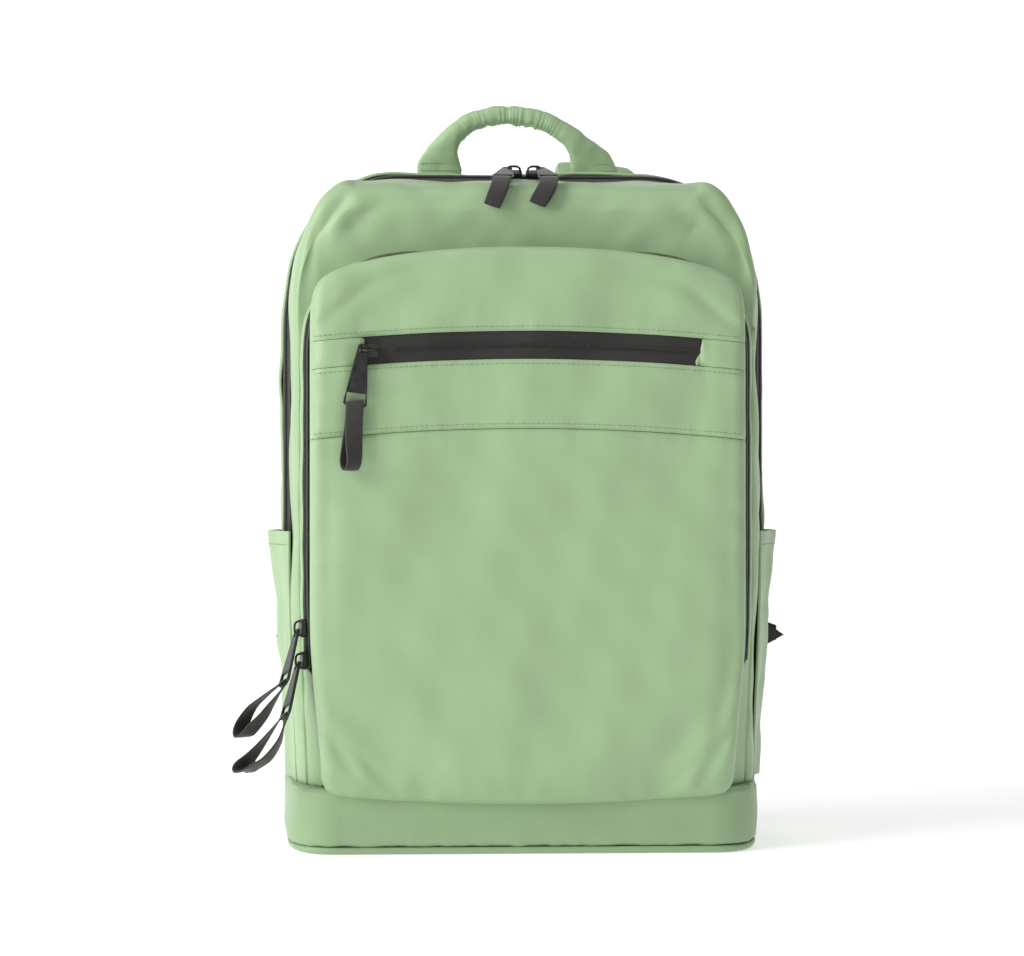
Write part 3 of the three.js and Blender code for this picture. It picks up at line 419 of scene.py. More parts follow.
def dents(across, up, rows):
    """Long soft hollows. Columns: place across and up, breadth, length in mm, turn from upright in
    degrees, depth in mm."""
    total = np.zeros(np.shape(across))
    for middle, level, breadth, length, turn, depth in rows:
        c, s = math.cos(math.radians(turn)), math.sin(math.radians(turn))
        dx, dz = across - middle, up - level
        total += depth * np.exp(-(((dx * c + dz * s) / breadth) ** 2) - ((dz * c - dx * s) / length) ** 2)
    return total


zip_foot = 180
zip_columns = body_arch(0.4)[:, 2] > zip_foot - 0.3
body_middle = (0, 10, 200)


def shell_grid(panel_depth, edge_at_zip, edge_below, shares):
    """Rings from the middle of a panel out to its edge and on over the depth to the seam."""
    rim = body_arch(panel_depth)
    heart = np.array([0, rim[0, 1], body_foot])
    scales = (
        0.001, 0.1, 0.22, 0.36, 0.5, 0.62, 0.72, 0.79, 0.84, 0.88, 0.91, 0.935, 0.955, 0.972, 0.986, 0.996,
    )
    rings = [heart + (rim - heart) * s for s in scales]
    for t in shares:
        above = body_arch(panel_depth + t * (edge_at_zip - panel_depth))
        below = body_arch(panel_depth + t * (edge_below - panel_depth))
        rings.append(np.where(zip_columns[:, None], above, below))
    return np.array(rings)


def roll_edge(grid, normals, last_rows):
    """Turns the last rows of a cloth in, as at a seam."""
    for row, depth in zip(range(-len(last_rows), 0), last_rows):
        grid[row] -= normals[row] * depth
    return grid


front_shares = (
    0, 0.02, 0.05, 0.09, 0.14, 0.2, 0.28, 0.37, 0.47, 0.58, 0.69, 0.79, 0.87, 0.93, 0.965, 0.985, 1,
)
front_grid = shell_grid(0.0, 0.364, 0.427, front_shares)
front_out = outward_normals(front_grid, body_middle)
x, y, z = np.moveaxis(front_grid, -1, 0)
face = np.exp(-np.maximum(y - body_front, 0) / 9)
upper_folds = [
    (-118, 398, 3.2, 17, -38, 2.6), (-126, 388, 5, 15, -16, 1.8), (-104, 392, 4, 18, -62, 1.4),
    (119, 395, 3.2, 17, 38, 2.6), (128, 384, 5, 15, 16, 1.8), (104, 391, 4, 18, 60, 1.4),
    (-134, 372, 3.5, 24, -8, 1.6), (134, 366, 3.5, 24, 8, 1.6), (-112, 384, 2.6, 20, -48, 1.5),
    (112, 382, 2.6, 20, 48, 1.5), (-30, 384, 14, 60, 84, 1.2), (52, 386, 10, 46, 96, 1.0),
    (-78, 379, 8, 30, 74, 1.2), (86, 378, 8, 30, 108, 1.2),
]
push = -1.35 * face * dents(x, z, upper_folds) + 0.5 * face * ripples(front_grid * (1, 1, 1.4), 40, 14)
push += 1.3 * face * smoothstep(z, 360, 380) * (1 - smoothstep(z, 392, 404))
side = 1 - face
push += side * 1.1 * ripples(front_grid, 70, 11) + 0.5 * ripples(front_grid, 30, 12)
side_folds = [(-12, 330, 9, 46, 12, 2.0), (-10, 250, 8, 40, -10, 1.6), (-6, 388, 7, 18, 30, 1.5)]
push -= side * dents(y, z, side_folds)
top_edge = smoothstep(z, 396, 402) * side
push += top_edge * 0.5 * ripples(front_grid * (1, 0.2, 1), 26, 13)
front_grid = front_grid + front_out * push[..., None]
front_grid = roll_edge(front_grid, front_out, (0.15, 0.7, 1.7))
front_shell = cloth_piece("front_shell_cloth", front_grid, green, body_middle, 2)
fit(front_shell, "shell_fabric", "front_shell")

back_shares = (1, 0.97, 0.94, 0.9, 0.85, 0.78, 0.7, 0.6, 0.5, 0.4, 0.3, 0.2, 0.12, 0.06, 0.03, 0.012, 0)
back_grid = shell_grid(1.0, 0.493, 0.43, [1 - s for s in back_shares])
back_out = outward_normals(back_grid, body_middle)
x, y, z = np.moveaxis(back_grid, -1, 0)
panel = np.exp(-np.maximum(body_back - y, 0) / 9)
push = (1 - panel) * (1.2 * ripples(back_grid, 78, 21) + 0.4 * ripples(back_grid, 32, 22)) + panel * 0.3
back_folds = [(38, 300, 10, 60, -8, 2.2), (30, 372, 8, 22, -30, 1.6), (36, 205, 18, 26, 0, -1.8)]
push -= (1 - panel) * dents(y, z, back_folds)
back_grid = roll_edge(back_grid + back_out * push[..., None], back_out, (0.15, 0.7, 1.7))
back_shell = cloth_piece("back_shell_cloth", back_grid, green, body_middle, 2, levels=0)
fit(back_shell, "shell_fabric", "back_shell")


# Arch zip of the main compartment: charcoal knitted tape with a row of coils down its middle, sewn
# under the turned-in edges of both shells from one side pocket over the top to the other.
tape = woven(
    "charcoal zip tape", (0.03, 0.028, 0.026), (0.012, 0.011, 0.01),
    pitch=0.0009, relief=0.0002, roughness=0.78, sheen=0.25, cloud=0.25,
)
coil, coil_tree, coil_shader = new_finish("moulded zip coil", (0.022, 0.021, 0.02), 0.42)
coil_grain = noise(coil_tree, node(coil_tree, "ShaderNodeTexCoord").outputs["Object"], 900.0)
coil_tree.links.new(relief_of(coil_tree, coil_grain, 0.3, 0.0001), coil_shader.inputs["Normal"])


def bead_tree():
    """Repeats a small rounded bead on points that carry the directions along and up."""
    tree = bpy.data.node_groups.new("beads on a path", "GeometryNodeTree")
    face = tree.interface
    face.new_socket("Geometry", in_out="INPUT", socket_type="NodeSocketGeometry")
    for name in ("Along", "Across", "High", "Scatter"):
        face.new_socket(name, in_out="INPUT", socket_type="NodeSocketFloat")
    face.new_socket("Seed", in_out="INPUT", socket_type="NodeSocketInt")
    face.new_socket("Material", in_out="INPUT", socket_type="NodeSocketMaterial")
    face.new_socket("Geometry", in_out="OUTPUT", socket_type="NodeSocketGeometry")
    given = node(tree, "NodeGroupInput")
    bead = node(tree, "GeometryNodeMeshUVSphere", {"Segments": 8, "Rings": 5, "Radius": 0.5})
    shaded = node(tree, "GeometryNodeSetShadeSmooth", {"Geometry": bead.outputs["Mesh"]})
    along = node(tree, "GeometryNodeInputNamedAttribute", {"Name": "along"}, data_type="FLOAT_VECTOR")
    up = node(tree, "GeometryNodeInputNamedAttribute", {"Name": "up"}, data_type="FLOAT_VECTOR")
    first = node(tree, "FunctionNodeAlignRotationToVector", {"Vector": along.outputs["Attribute"]}, axis="X")
    second = node(tree, "FunctionNodeAlignRotationToVector", {
        "Rotation": first.outputs["Rotation"], "Vector": up.outputs["Attribute"],
    }, axis="Z", pivot_axis="X")
    size = node(tree, "ShaderNodeCombineXYZ", {
        "X": given.outputs["Along"], "Y": given.outputs["Across"], "Z": given.outputs["High"],
    })
    least = maths(tree, "SUBTRACT", 1.0, given.outputs["Scatter"])
    most = maths(tree, "ADD", 1.0, given.outputs["Scatter"])
    chance = node(tree, "FunctionNodeRandomValue", {"Seed": given.outputs["Seed"]}, data_type="FLOAT")
    for socket in chance.inputs:
        if socket.type == "VALUE" and socket.enabled:
            tree.links.new(least if socket.name == "Min" else most, socket)
    amount = next(out for out in chance.outputs if out.enabled)
    varied = node(tree, "ShaderNodeVectorMath", {0: size.outputs[0], "Scale": amount}, operation="SCALE")
    points = node(tree, "GeometryNodeMeshToPoints", {"Mesh": given.outputs["Geometry"]})
    placed = node(tree, "GeometryNodeInstanceOnPoints", {
        "Points": points.outputs["Points"], "Instance": shaded.outputs["Geometry"],
        "Rotation": second.outputs["Rotation"], "Scale": varied.outputs[0],
    })
    real = node(tree, "GeometryNodeRealizeInstances", {"Geometry": placed.outputs["Instances"]})
    painted = node(tree, "GeometryNodeSetMaterial", {
        "Geometry": real.outputs["Geometry"], "Material": given.outputs["Material"],
    })
    node(tree, "NodeGroupOutput", {"Geometry": painted.outputs["Geometry"]})
    return tree


beads = bead_tree()


def steps_of(path):
    """Distance from the start to each point of a path."""
    return np.concatenate([[0], np.cumsum(np.linalg.norm(np.diff(path, axis=0), axis=1))])


def sampled(at, steps, values):
    """Values between the points of a path, at distances from its start."""
    return np.column_stack([np.interp(at, steps, values[:, k]) for k in range(values.shape[1])])


def bead_rows(name, rows, pitch, size, material, slot, seed, scatter=0.06):
    """Beads at a pitch along paths. Each path is points with their outward directions, in mm; size is
    the bead's length along, across and above the path."""
    places, directions, outwards = [], [], []
    for path, outward in rows:
        path, outward = np.asarray(path, float), np.asarray(outward, float)
        steps = steps_of(path)
        at = np.arange(pitch / 2, steps[-1], pitch)
        places.append(sampled(at, steps, path))
        directions.append(sampled(at + 0.4, steps, path) - sampled(at - 0.4, steps, path))
        outwards.append(sampled(at, steps, outward))
    places = np.concatenate(places)
    made = mesh_object(name, places, [], material)
    for key, values in (("along", directions), ("up", outwards)):
        layer = made.data.attributes.new(key, "FLOAT_VECTOR", "POINT")
        layer.data.foreach_set("vector", np.concatenate(values).reshape(-1))
    modifier = made.modifiers.new("beads", "NODES")
    modifier.node_group = beads
    sockets = {item.name: item.identifier for item in beads.interface.items_tree if item.in_out == "INPUT"}
    values = {
        "Along": size[0] * MM, "Across": size[1] * MM, "High": size[2] * MM,
        "Scatter": scatter, "Seed": seed,
    }
    for key, value in values.items():
        modifier[sockets[key]] = value
    modifier[sockets["Material"]] = material
    made.data.update()
    settle(made)
    fit(made, slot)


main_zip_front, main_zip_wide = 0, 12
main_zip_recess = 1.3


def main_zip_line(share):
    y = main_zip_front + main_zip_wide * share
    ridge = 0.5 * bell(share, 0.5, 0.2)
    line = body_arch((y - body_front) / body_depth, -main_zip_recess + ridge)[zip_columns]
    line[:, 1] = y
    return line


main_tape_grid = np.array([main_zip_line(share) for share in np.linspace(-0.02, 1.02, 13)])
main_tape = cloth_piece("main_zip_tape", main_tape_grid, tape, body_middle, 0.7, levels=1)
fit(main_tape, "zip_tape", "main_zip")
main_line = main_tape_grid[6]
main_out = outward_normals(main_tape_grid, body_middle)[6]
bead_rows(
    "main_zip_coil", [(main_line + main_out * 0.5, main_out)], 1.35, (0.95, 4.4, 1.5), coil, "zip_tape", 31,
)


# Front compartment: a narrow side strip and floor of green cloth behind the cover, with its own charcoal
# zip between strip and cover.
gusset_half, gusset_top, gusset_taper, gusset_deep = 141, 370, 4.5, 14
cover_back = body_front - gusset_deep
tape_front, tape_back = cover_back, cover_back + 8
zip_foot_left, zip_foot_right = 112, 118
cover_edge_half, cover_edge_tuck, tuck_low, tuck_high = 133.6, 7, 36, 144
cloth_gap = 0.3


def gusset_line(y, grow=0.0):
    share = (body_front - cloth_gap - y) / gusset_deep
    line = arch(
        gusset_half - gusset_taper * share + grow, body_foot, gusset_top + grow,
        drop=shoulder * 0.8, run=shoulder * 0.9, lift=0.6, reach=0.6, counts=(60, 22, 20),
    )
    return np.column_stack([line[:, 0], np.full(len(line), y), line[:, 1]])


gusset_middle = (0, -44, 200)
nominal = gusset_line(tape_back)
with_zip = np.where(nominal[:, 0] < 0, nominal[:, 2] > zip_foot_left, nominal[:, 2] > zip_foot_right)
gusset_start = body_front - cloth_gap
gusset_rows = []
for share in (0, 0.08, 0.2, 0.4, 0.6, 0.8, 0.93, 1):
    above = gusset_line(gusset_start + share * (tape_back + 0.2 - gusset_start))
    below = gusset_line(gusset_start + share * (cover_back + 0.1 - gusset_start))
    cover_edge = cover_edge_half - cover_edge_tuck * (1 - smoothstep(below[:, 2], tuck_low, tuck_high))
    below[:, 0] += share ** 2 * (np.sign(below[:, 0]) * cover_edge - below[:, 0])
    gusset_rows.append(np.where(with_zip[:, None], above, below))
gusset_grid = np.array(gusset_rows)
gusset_out = outward_normals(gusset_grid, gusset_middle)
wave = 0.35 * ripples(gusset_grid * (1, 0.4, 1), 24, 41) - np.abs(np.linspace(-1, 1, 8))[:, None] ** 6 * 0.8
gusset_grid = gusset_grid + gusset_out * wave[..., None]
gusset = cloth_piece("compartment_gusset_cloth", gusset_grid, green, gusset_middle, 2)
floor_half, floor_front = 111, -59
floor_x = np.linspace(-floor_half, floor_half, 40)
floor_y = np.linspace(floor_front, body_front - 0.6, 8)
gusset_floor_grid = np.array([[(a, b, body_foot + 2) for a in floor_x] for b in floor_y])
gusset_floor = cloth_piece("compartment_floor", gusset_floor_grid, green, (0, -44, 0), 2, levels=0)
fit(gusset, "shell_fabric", "compartment_gusset")
fit(gusset_floor, "shell_fabric")


def compartment_zip_line(share):
    y = tape_front + (tape_back - tape_front) * share
    return gusset_line(y, -1.1 + 0.5 * bell(share, 0.5, 0.2))[with_zip]


small_tape_grid = np.array([compartment_zip_line(share) for share in np.linspace(-0.02, 1.02, 11)])
small_tape = cloth_piece("compartment_zip_tape", small_tape_grid, tape, gusset_middle, 0.7)
fit(small_tape, "zip_tape", "compartment_zip")
small_out = outward_normals(small_tape_grid, gusset_middle)[5]
small_line = small_tape_grid[5] + small_out * 0.4
bead_rows("compartment_zip_coil", [(small_line, small_out)], 1.2, (0.85, 3.4, 1.3), coil, "zip_tape", 42)


# Cover of the front compartment: green cloth in sewn panels, an upper panel, two short welts beside the
# pocket zip, a band below it and a large lower panel, puckered along the seams and slack at its foot.
cover_half, cover_top, cover_foot, cover_deep = 134, 373, 36, 23
cover_height = cover_top - cover_foot
slack_share, foot_tuck, foot_sag = 0.32, 7, 6
zip_high, zip_low, zip_left, zip_right = 320, 303, -100, 106
band_seam, droop = 260.5, 7
rim_inset = [0, 0.4, 1.8, 5, 12, 36, 84]
rim_rise = [0.02, 0.4, 0.7, 0.87, 0.95, 0.985, 1]
profile_up = [0, 0.06, 0.2, 0.5, 0.8, 1.0]
profile_deep = [0.86, 0.97, 1.0, 0.98, 0.86, 0.64]
corner_x, corner_z = 125, 354.5
top_curve = np.concatenate([
    bezier([(cover_half, 319), (cover_half, 338), (132.5, 349), (corner_x, corner_z)], 90),
    bezier([(corner_x, corner_z), (113, 363), (70, cover_top), (0, cover_top)], 140)[1:],
])[::-1]
foot_curve = bezier([
    (cover_half - 14, cover_foot), (cover_half, cover_foot), (cover_half, cover_foot + 14),
], 60)
cover_folds = [
    (98, 70, 13, 44, -38, 3.4), (-90, 70, 17, 52, 40, 2.4), (38, 157, 30, 84, -24, 2.0),
    (-41, 211, 32, 76, 18, 1.6), (90, 324, 9, 34, 74, 1.6), (-75, 339, 13, 36, -58, 1.5),
    (118, 60, 4, 22, -30, 2.8), (-118, 62, 4, 22, 32, 2.4), (104, 56, 3.4, 20, -52, 1.8),
    (-102, 58, 3.4, 20, 50, 1.6), (112, 334, 3.6, 20, 52, 1.8), (-112, 336, 3.6, 20, -50, 1.8),
    (92, 348, 3.2, 22, 70, 1.2), (-90, 350, 3.2, 22, -70, 1.2), (121, 96, 4, 34, -8, 1.4),
    (60, 96, 16, 60, -64, 1.5), (-52, 108, 20, 60, 58, 1.4), (4, 350, 9, 60, 88, 1.0),
    (124, 150, 7, 60, 2, 1.0), (-124, 190, 7, 70, -2, 0.9),
]


def seam(middle, x):
    return middle - droop * (np.asarray(x, float) / cover_half) ** 2


def top_edge_of(x):
    return np.interp(np.abs(x), top_curve[:, 0], top_curve[:, 1])


def foot_edge_of(x):
    return np.interp(np.abs(x), foot_curve[:, 0], foot_curve[:, 1])


def cover_at(x, z, sunk=0.0, seams=True):
    """Point of the cover's face: domed from its rim, with folds and slack, puckered along its edge,
    wrinkled low down, sunk at the seams, and drawn in and hanging at its foot."""
    x, z = np.asarray(x, float), np.asarray(z, float)
    rise = read(rim_inset, rim_rise, cover_half - np.abs(x))
    rise = rise * read(rim_inset, rim_rise, top_edge_of(x) - z)
    rise = rise * read(rim_inset, rim_rise, z - foot_edge_of(x))
    depth = cover_deep * read(profile_up, profile_deep, (z - cover_foot) / cover_height) * rise
    flat = np.stack([x, np.zeros_like(x), z], axis=-1)
    loose = rise ** 3
    depth = depth - loose * dents(x, z, cover_folds)
    depth = depth + loose * (1.1 * ripples(flat, 62, 51) + 0.42 * ripples(flat * (1, 1, 0.7), 26, 52))
    edge = np.minimum(np.minimum(cover_half - np.abs(x), top_edge_of(x) - z), z - foot_edge_of(x))
    depth = depth + 0.35 * bell(edge, 4, 5) * ripples(flat, 13, 53)
    low = bell(z, foot_edge_of(x), 16)
    depth = depth + 0.9 * low * loose * ripples(flat * (1, 1, 0.3), 17, 54)
    if seams:
        within = smoothstep(x, zip_left - 6, zip_left) * (1 - smoothstep(x, zip_right, zip_right + 6))
        for middle, sink, reach in ((zip_high, 1.5, within), (zip_low, 1.5, within), (band_seam, 1.3, 1.0)):
            off = z - seam(middle, x)
            keep = 0.35 + 0.65 * reach if middle != band_seam else 1.0
            depth = depth - sink * keep * bell(off, 0, 1.4)
            depth = depth + 0.34 * np.exp(-np.abs(off) / 8) * ripples(flat * (1, 1, 0.2), 9.5, 55)
            depth = depth + 0.5 * bell(np.abs(off), 5, 3.5)
        inside = (z < seam(zip_high, x)) & (z > seam(zip_low, x))
        for end in (zip_left, zip_right - 1.7):
            depth = depth - np.where(inside, 1.3 * bell(x, end, 1.4), 0)
    narrow = 1 - smoothstep(z, cover_foot, cover_foot + cover_height * slack_share)
    low_share = np.maximum(0, 1 - (z - cover_foot) / (cover_height * slack_share))
    return np.stack([
        x * (1 - (foot_tuck / cover_half) * narrow), cover_back - cloth_gap - depth + sunk,
        z - foot_sag * low_share * (1 - (x / cover_half) ** 2),
    ], axis=-1)


def spaced(length, step=3.6):
    """Places along a length, close together near both ends, as shares."""
    near = np.array([0, 0.15, 0.5, 1.2, 2.2, 3.6, 5.6, 8.4, 12, 16])
    near = near[near < length * 0.45]
    count = max(2, int(round((length - 2 * near[-1]) / step)) + 1)
    middle = np.linspace(near[-1], length - near[-1], count)
    return np.unique(np.round(np.concatenate([near, middle, length - near]), 4)) / length


def cover_panel(name, left, right, low, high, nodes):
    """Panel between two sides and two seams, each side given at its low and high end."""
    width = right[1] - left[1]
    columns = left[0] + spaced(width) * (right[0] - left[0])
    upper = left[1] + spaced(width) * (right[1] - left[1])
    low_z, high_z = low(columns), high(upper)
    rows = []
    for share in spaced(float((high_z - low_z).max())):
        across = columns + (upper - columns) * share
        rows.append(cover_at(across, low_z + (high_z - low_z) * share))
    grid = np.array(rows)
    made = cloth_piece(name, grid, green, (0, 0, 200), 2)
    fit(made, "shell_fabric", *nodes)


gap = 0.15
sides = (-cover_half, -cover_half), (cover_half, cover_half)
cover_panel("cover_upper_panel", *sides, lambda x: seam(zip_high + gap, x), top_edge_of, ["cover_upper"])
cover_panel("cover_lower_panel", *sides, foot_edge_of, lambda x: seam(band_seam - gap, x), ["cover_lower"])
cover_panel(
    "cover_band_panel", *sides,
    lambda x: seam(band_seam + gap, x), lambda x: seam(zip_low - gap, x), ["cover_band"],
)
for label, left, right in (
    ("left", (-cover_half, -cover_half), (zip_left - gap, zip_left - gap)),
    ("right", (zip_right - 3.5 + gap, zip_right + gap), (cover_half, cover_half)),
):
    cover_panel(
        f"cover_welt_{label}_cloth", left, right,
        lambda x: seam(zip_low + gap, x), lambda x: seam(zip_high - gap, x), [f"cover_welt_{label}"],
    )


thread = new_finish("green thread", (0.19, 0.28, 0.15), 0.6, {"Sheen Weight": 0.3})[0]


def unit(vectors):
    """The vectors with a length of one."""
    return vectors / np.linalg.norm(vectors, axis=-1, keepdims=True)


def cover_row(middle, offset, left=-cover_half + 3, right=cover_half - 3):
    x = np.linspace(left, right, 160)
    z = seam(middle, x) + offset
    here = cover_at(x, z)
    out = unit(np.cross(cover_at(x + 0.5, z) - here, cover_at(x, z + 0.5) - here))
    return here + out * 0.05, out


stitch_size = (2.3, 0.55, 0.5)
bead_rows(
    "cover_stitches",
    [cover_row(zip_high, 2.9), cover_row(zip_low, -2.9), cover_row(band_seam, 3.0)],
    3.1, stitch_size, thread, "shell_fabric", 56,
)


# Zip of the pocket in the cover: a charcoal tape let in between the welts, ribbed across, with its coil
# in the middle.
x = np.linspace(0, 1, 90)
pocket_rows = []
for share in np.linspace(0, 1, 15):
    left, right = zip_left - 1.2, zip_right + 1.2 - 3.5 * (1 - share)
    across = left + x * (right - left)
    z = seam(zip_low - 1.2, across) + share * (zip_high - zip_low + 2.4)
    ridge = 0.75 * bell(share, 0.5, 0.13)
    pocket_rows.append(cover_at(across, z, sunk=2.1 - ridge, seams=False))
pocket_tape_grid = np.array(pocket_rows)
pocket_tape = cloth_piece("pocket_zip_tape", pocket_tape_grid, tape, (0, 0, 300), 0.7)
fit(pocket_tape, "zip_tape", "pocket_zip")
pocket_outs = outward_normals(pocket_tape_grid, (0, 0, 300))
pocket_out = pocket_outs[7]
pocket_line = pocket_tape_grid[7] + pocket_out * 0.3
bead_rows("pocket_zip_coil", [(pocket_line[8:], pocket_out[8:])], 1.3, (0.9, 3.2, 1.2), coil, "zip_tape", 61)
rib_rows = [(pocket_tape_grid[row], pocket_outs[row]) for row in (4, 10)]
bead_rows("pocket_zip_tape_ribs", rib_rows, 1.3, (0.5, 4.4, 0.35), tape, "zip_tape", 62)


# Side pockets: a single cloth wall on each side, gathered a little at its foot and standing off at its
# open top, which ends in a hem with one row of stitches.
pocket_top, pocket_foot_z, pocket_swell, pocket_wall = 197, 40.6, 6, 1.6
pocket_start, pocket_end = -20, 48
hem_height = 1 - 0.055
swell_up = [0, 0.35, 0.64, 0.7, 0.8, 1.0]
swell_by_height = [0.04, 0.18, 0.36, 0.24, 0.48, 1.0]
swell_place = [0, 0.14, 0.32, 0.66, 0.86, 1.0]
swell_by_depth = [0, 0.66, 0.96, 1.0, 0.7, 0.0]


def body_side(y, z):
    width = read(sections["depth"], sections["width"], (y - body_front) / body_depth)
    return body_half * width * (1 - tuck(z))


def pocket_at(side, place, height, seed):
    y = pocket_start + place * (pocket_end - pocket_start)
    z = pocket_foot_z + height * (pocket_top - pocket_foot_z)
    swell = read(swell_place, swell_by_depth, place) * read(swell_up, swell_by_height, height)
    x = body_side(y, z) + cloth_gap + pocket_wall + pocket_swell * swell
    here = np.stack([x, y, z], axis=-1)
    loose = read(swell_place, swell_by_depth, place) * smoothstep(height, 0.02, 0.2)
    x = x + loose * (0.55 * ripples(here, 34, seed) + 0.3 * ripples(here * (1, 1, 0.4), 13, seed + 1))
    folds = [(6, 140, 6, 26, 64, 1.2), (26, 118, 6, 30, -52, 1.2), (14, 76, 7, 30, 20, 1.0)]
    x = x - loose * dents(y, z, folds)
    x = x + 0.55 * loose * bell(z, pocket_top - 5, 4.5)
    return np.stack([side * x, y, z], axis=-1)


place, height = np.meshgrid(spaced(68, 2.6), spaced(156, 3.2))
for label, side, seed in (("left", -1, 71), ("right", 1, 73)):
    wall_grid = pocket_at(side, place, height, seed)
    wall = cloth_piece(f"side_pocket_{label}_cloth", wall_grid, green, (side * 100, 14, 120), pocket_wall)
    fit(wall, "shell_fabric", f"side_pocket_{label}")
    hem_place = np.linspace(0.02, 0.98, 80)
    here = pocket_at(side, hem_place, np.full(80, hem_height), seed)
    out = np.tile((side, 0.0, 0.0), (80, 1))
    hem_row = (here + out * 0.15, out)
    bead_rows(f"side_pocket_{label}_stitches", [hem_row], 3.0, stitch_size, thread, "shell_fabric", seed)


# Carry handle: a green cloth roll over foam cord, gathered on its inner side, that opens into a flat
# foot at each end where it is sewn to the top.
handle_half_span, handle_rise, handle_y, handle_shift, handle_lean = 51, 39, 25, -3.5, -6
line_across = np.array([1.0, 0.97, 0.92, 0.84, 0.72, 0.5, 0.26, 0.0])
line_up = np.array([-0.12, 0.12, 0.3, 0.5, 0.68, 0.87, 0.97, 1.0])
line_spread = np.array([1.0, 1.0, 0.72, 0.26, 0.06, 0, 0, 0])
handle_steps, handle_sides = 320, 56


def catmull(points, count):
    """Smooth line of even steps through points."""
    points = np.asarray(points, float)
    padded = np.concatenate([[2 * points[0] - points[1]], points, [2 * points[-1] - points[-2]]])
    out = []
    for i in range(len(points) - 1):
        a, b, c, d = padded[i:i + 4]
        t = np.linspace(0, 1, 40, endpoint=False)[:, None]
        square, cube = 2 * a - 5 * b + 4 * c - d, 3 * b - a - 3 * c + d
        out.append(0.5 * (2 * b + (c - a) * t + square * t ** 2 + cube * t ** 3))
    out = np.concatenate(out + [points[-1:]])
    steps = steps_of(out)
    return sampled(np.linspace(0, steps[-1], count), steps, out)


def sweep(centres, across, normal, width, thickness, sides, square):
    """Grid of rounded sections along a line; closed round each section."""
    angle = np.linspace(0, 2 * math.pi, sides, endpoint=False)
    bulge = 2 / square
    ca = np.sign(np.cos(angle)) * np.abs(np.cos(angle)) ** bulge
    sa = np.sign(np.sin(angle)) * np.abs(np.sin(angle)) ** bulge
    return (centres[:, None] + across[:, None] * (width[:, None] / 2 * ca)[..., None]
            + normal[:, None] * (thickness[:, None] / 2 * sa)[..., None])


def closed_piece(name, grid, material):
    """Stuffed piece: a swept grid with both ends closed."""
    first, last = grid[0].mean(axis=0), grid[-1].mean(axis=0)
    caps = [first + (grid[0] - first) * s for s in (0.02, 0.5, 0.85)]
    ends = [last + (grid[-1] - last) * s for s in (0.85, 0.5, 0.02)]
    whole = np.concatenate([np.array(caps), grid, np.array(ends)])
    rows, columns = whole.shape[:2]
    faces, corners = lattice(whole, True)
    faces += [range(columns)[::-1], range((rows - 1) * columns, rows * columns)]
    corners += [[(0.0, 0.0)] * columns] * 2
    points = whole.reshape(-1, 3)
    a, b, c, d = (points[[f[k] for f in faces[:-2]]] for k in range(4))
    volume = (a * (np.cross(b, c) + np.cross(c, d))).sum()
    return cloth_mesh(name, points, faces, corners, material, volume < 0)


middle_line = np.column_stack([
    line_across * handle_half_span, line_up * handle_rise + body_height, line_spread,
])
whole_line = np.concatenate([middle_line[:-1] * (-1, 1, 1), middle_line[-1:], middle_line[:-1][::-1]])
handle_line = catmull(whole_line, handle_steps)
handle_line[:, 0] += handle_shift + handle_lean * (handle_line[:, 1] - body_height) / handle_rise
centres = np.column_stack([handle_line[:, 0], np.full(handle_steps, handle_y), handle_line[:, 1]])
tangent = unit(np.gradient(centres, axis=0))
spread = np.clip(handle_line[:, 2], 0, 1)
across = unit(np.cross(tangent, (0, 1, 0)))
grip_wide, foot_wide, grip_deep, foot_deep = 12, 29, 14.5, 4
width = grip_wide + (foot_wide - grip_wide) * spread
deep = grip_deep + (foot_deep - grip_deep) * spread
backward = np.tile((0.0, 1.0, 0.0), (handle_steps, 1))
handle_grid = sweep(centres, across, backward, width, deep, handle_sides, 2.4)
handle_out = unit(handle_grid - centres[:, None])
inner = np.clip((handle_out * -across[:, None] * np.sign(across[:, None, 2:3])).sum(axis=-1), 0, 1)
along = np.linspace(0, 1, handle_steps)[:, None]
grip_middle, grip_reach = -10, 34
mid_grip = np.exp(-(((handle_grid[..., 0] - grip_middle) / grip_reach) ** 4))
gather = (1 - spread[:, None]) * mid_grip * (0.45 + 0.75 * inner) * (
    0.38 * np.sin(along * 300 + 5 * np.sin(along * 37)) + 0.4 * ripples(handle_grid * (1, 0.4, 0.4), 4.6, 81)
) + 0.3 * ripples(handle_grid, 15, 84)
crease = -0.5 * bell(handle_grid[..., 0], grip_middle, 1.4) * (1 - spread[:, None])
seam_line = -0.7 * bell(np.linspace(0, 1, handle_sides, endpoint=False), 0.25, 0.02)[None, :]
foot_ripple = spread[:, None] * 0.4 * ripples(handle_grid, 14, 82)
lift = 0.8 * gather + crease + seam_line * (1 - spread[:, None]) + foot_ripple
handle_grid = handle_grid + handle_out * lift[..., None]
handle = closed_piece("carry_handle_cloth", handle_grid, green)
fit(handle, "shell_fabric", "carry_handle")
foot_rows = []
for sign in (-1, 1):
    for level in (3.0, 7.5):
        reach = 12.5
        xs = np.linspace(-reach, reach, 24) + sign * handle_half_span * 0.985 + handle_shift
        path = np.column_stack([xs, np.full(24, handle_y - 2.25), np.full(24, body_height + level)])
        foot_rows.append((path, np.tile((0.0, -1.0, 0.0), (24, 1))))
bead_rows("carry_handle_stitches", foot_rows, 2.8, stitch_size, thread, "shell_fabric", 83)


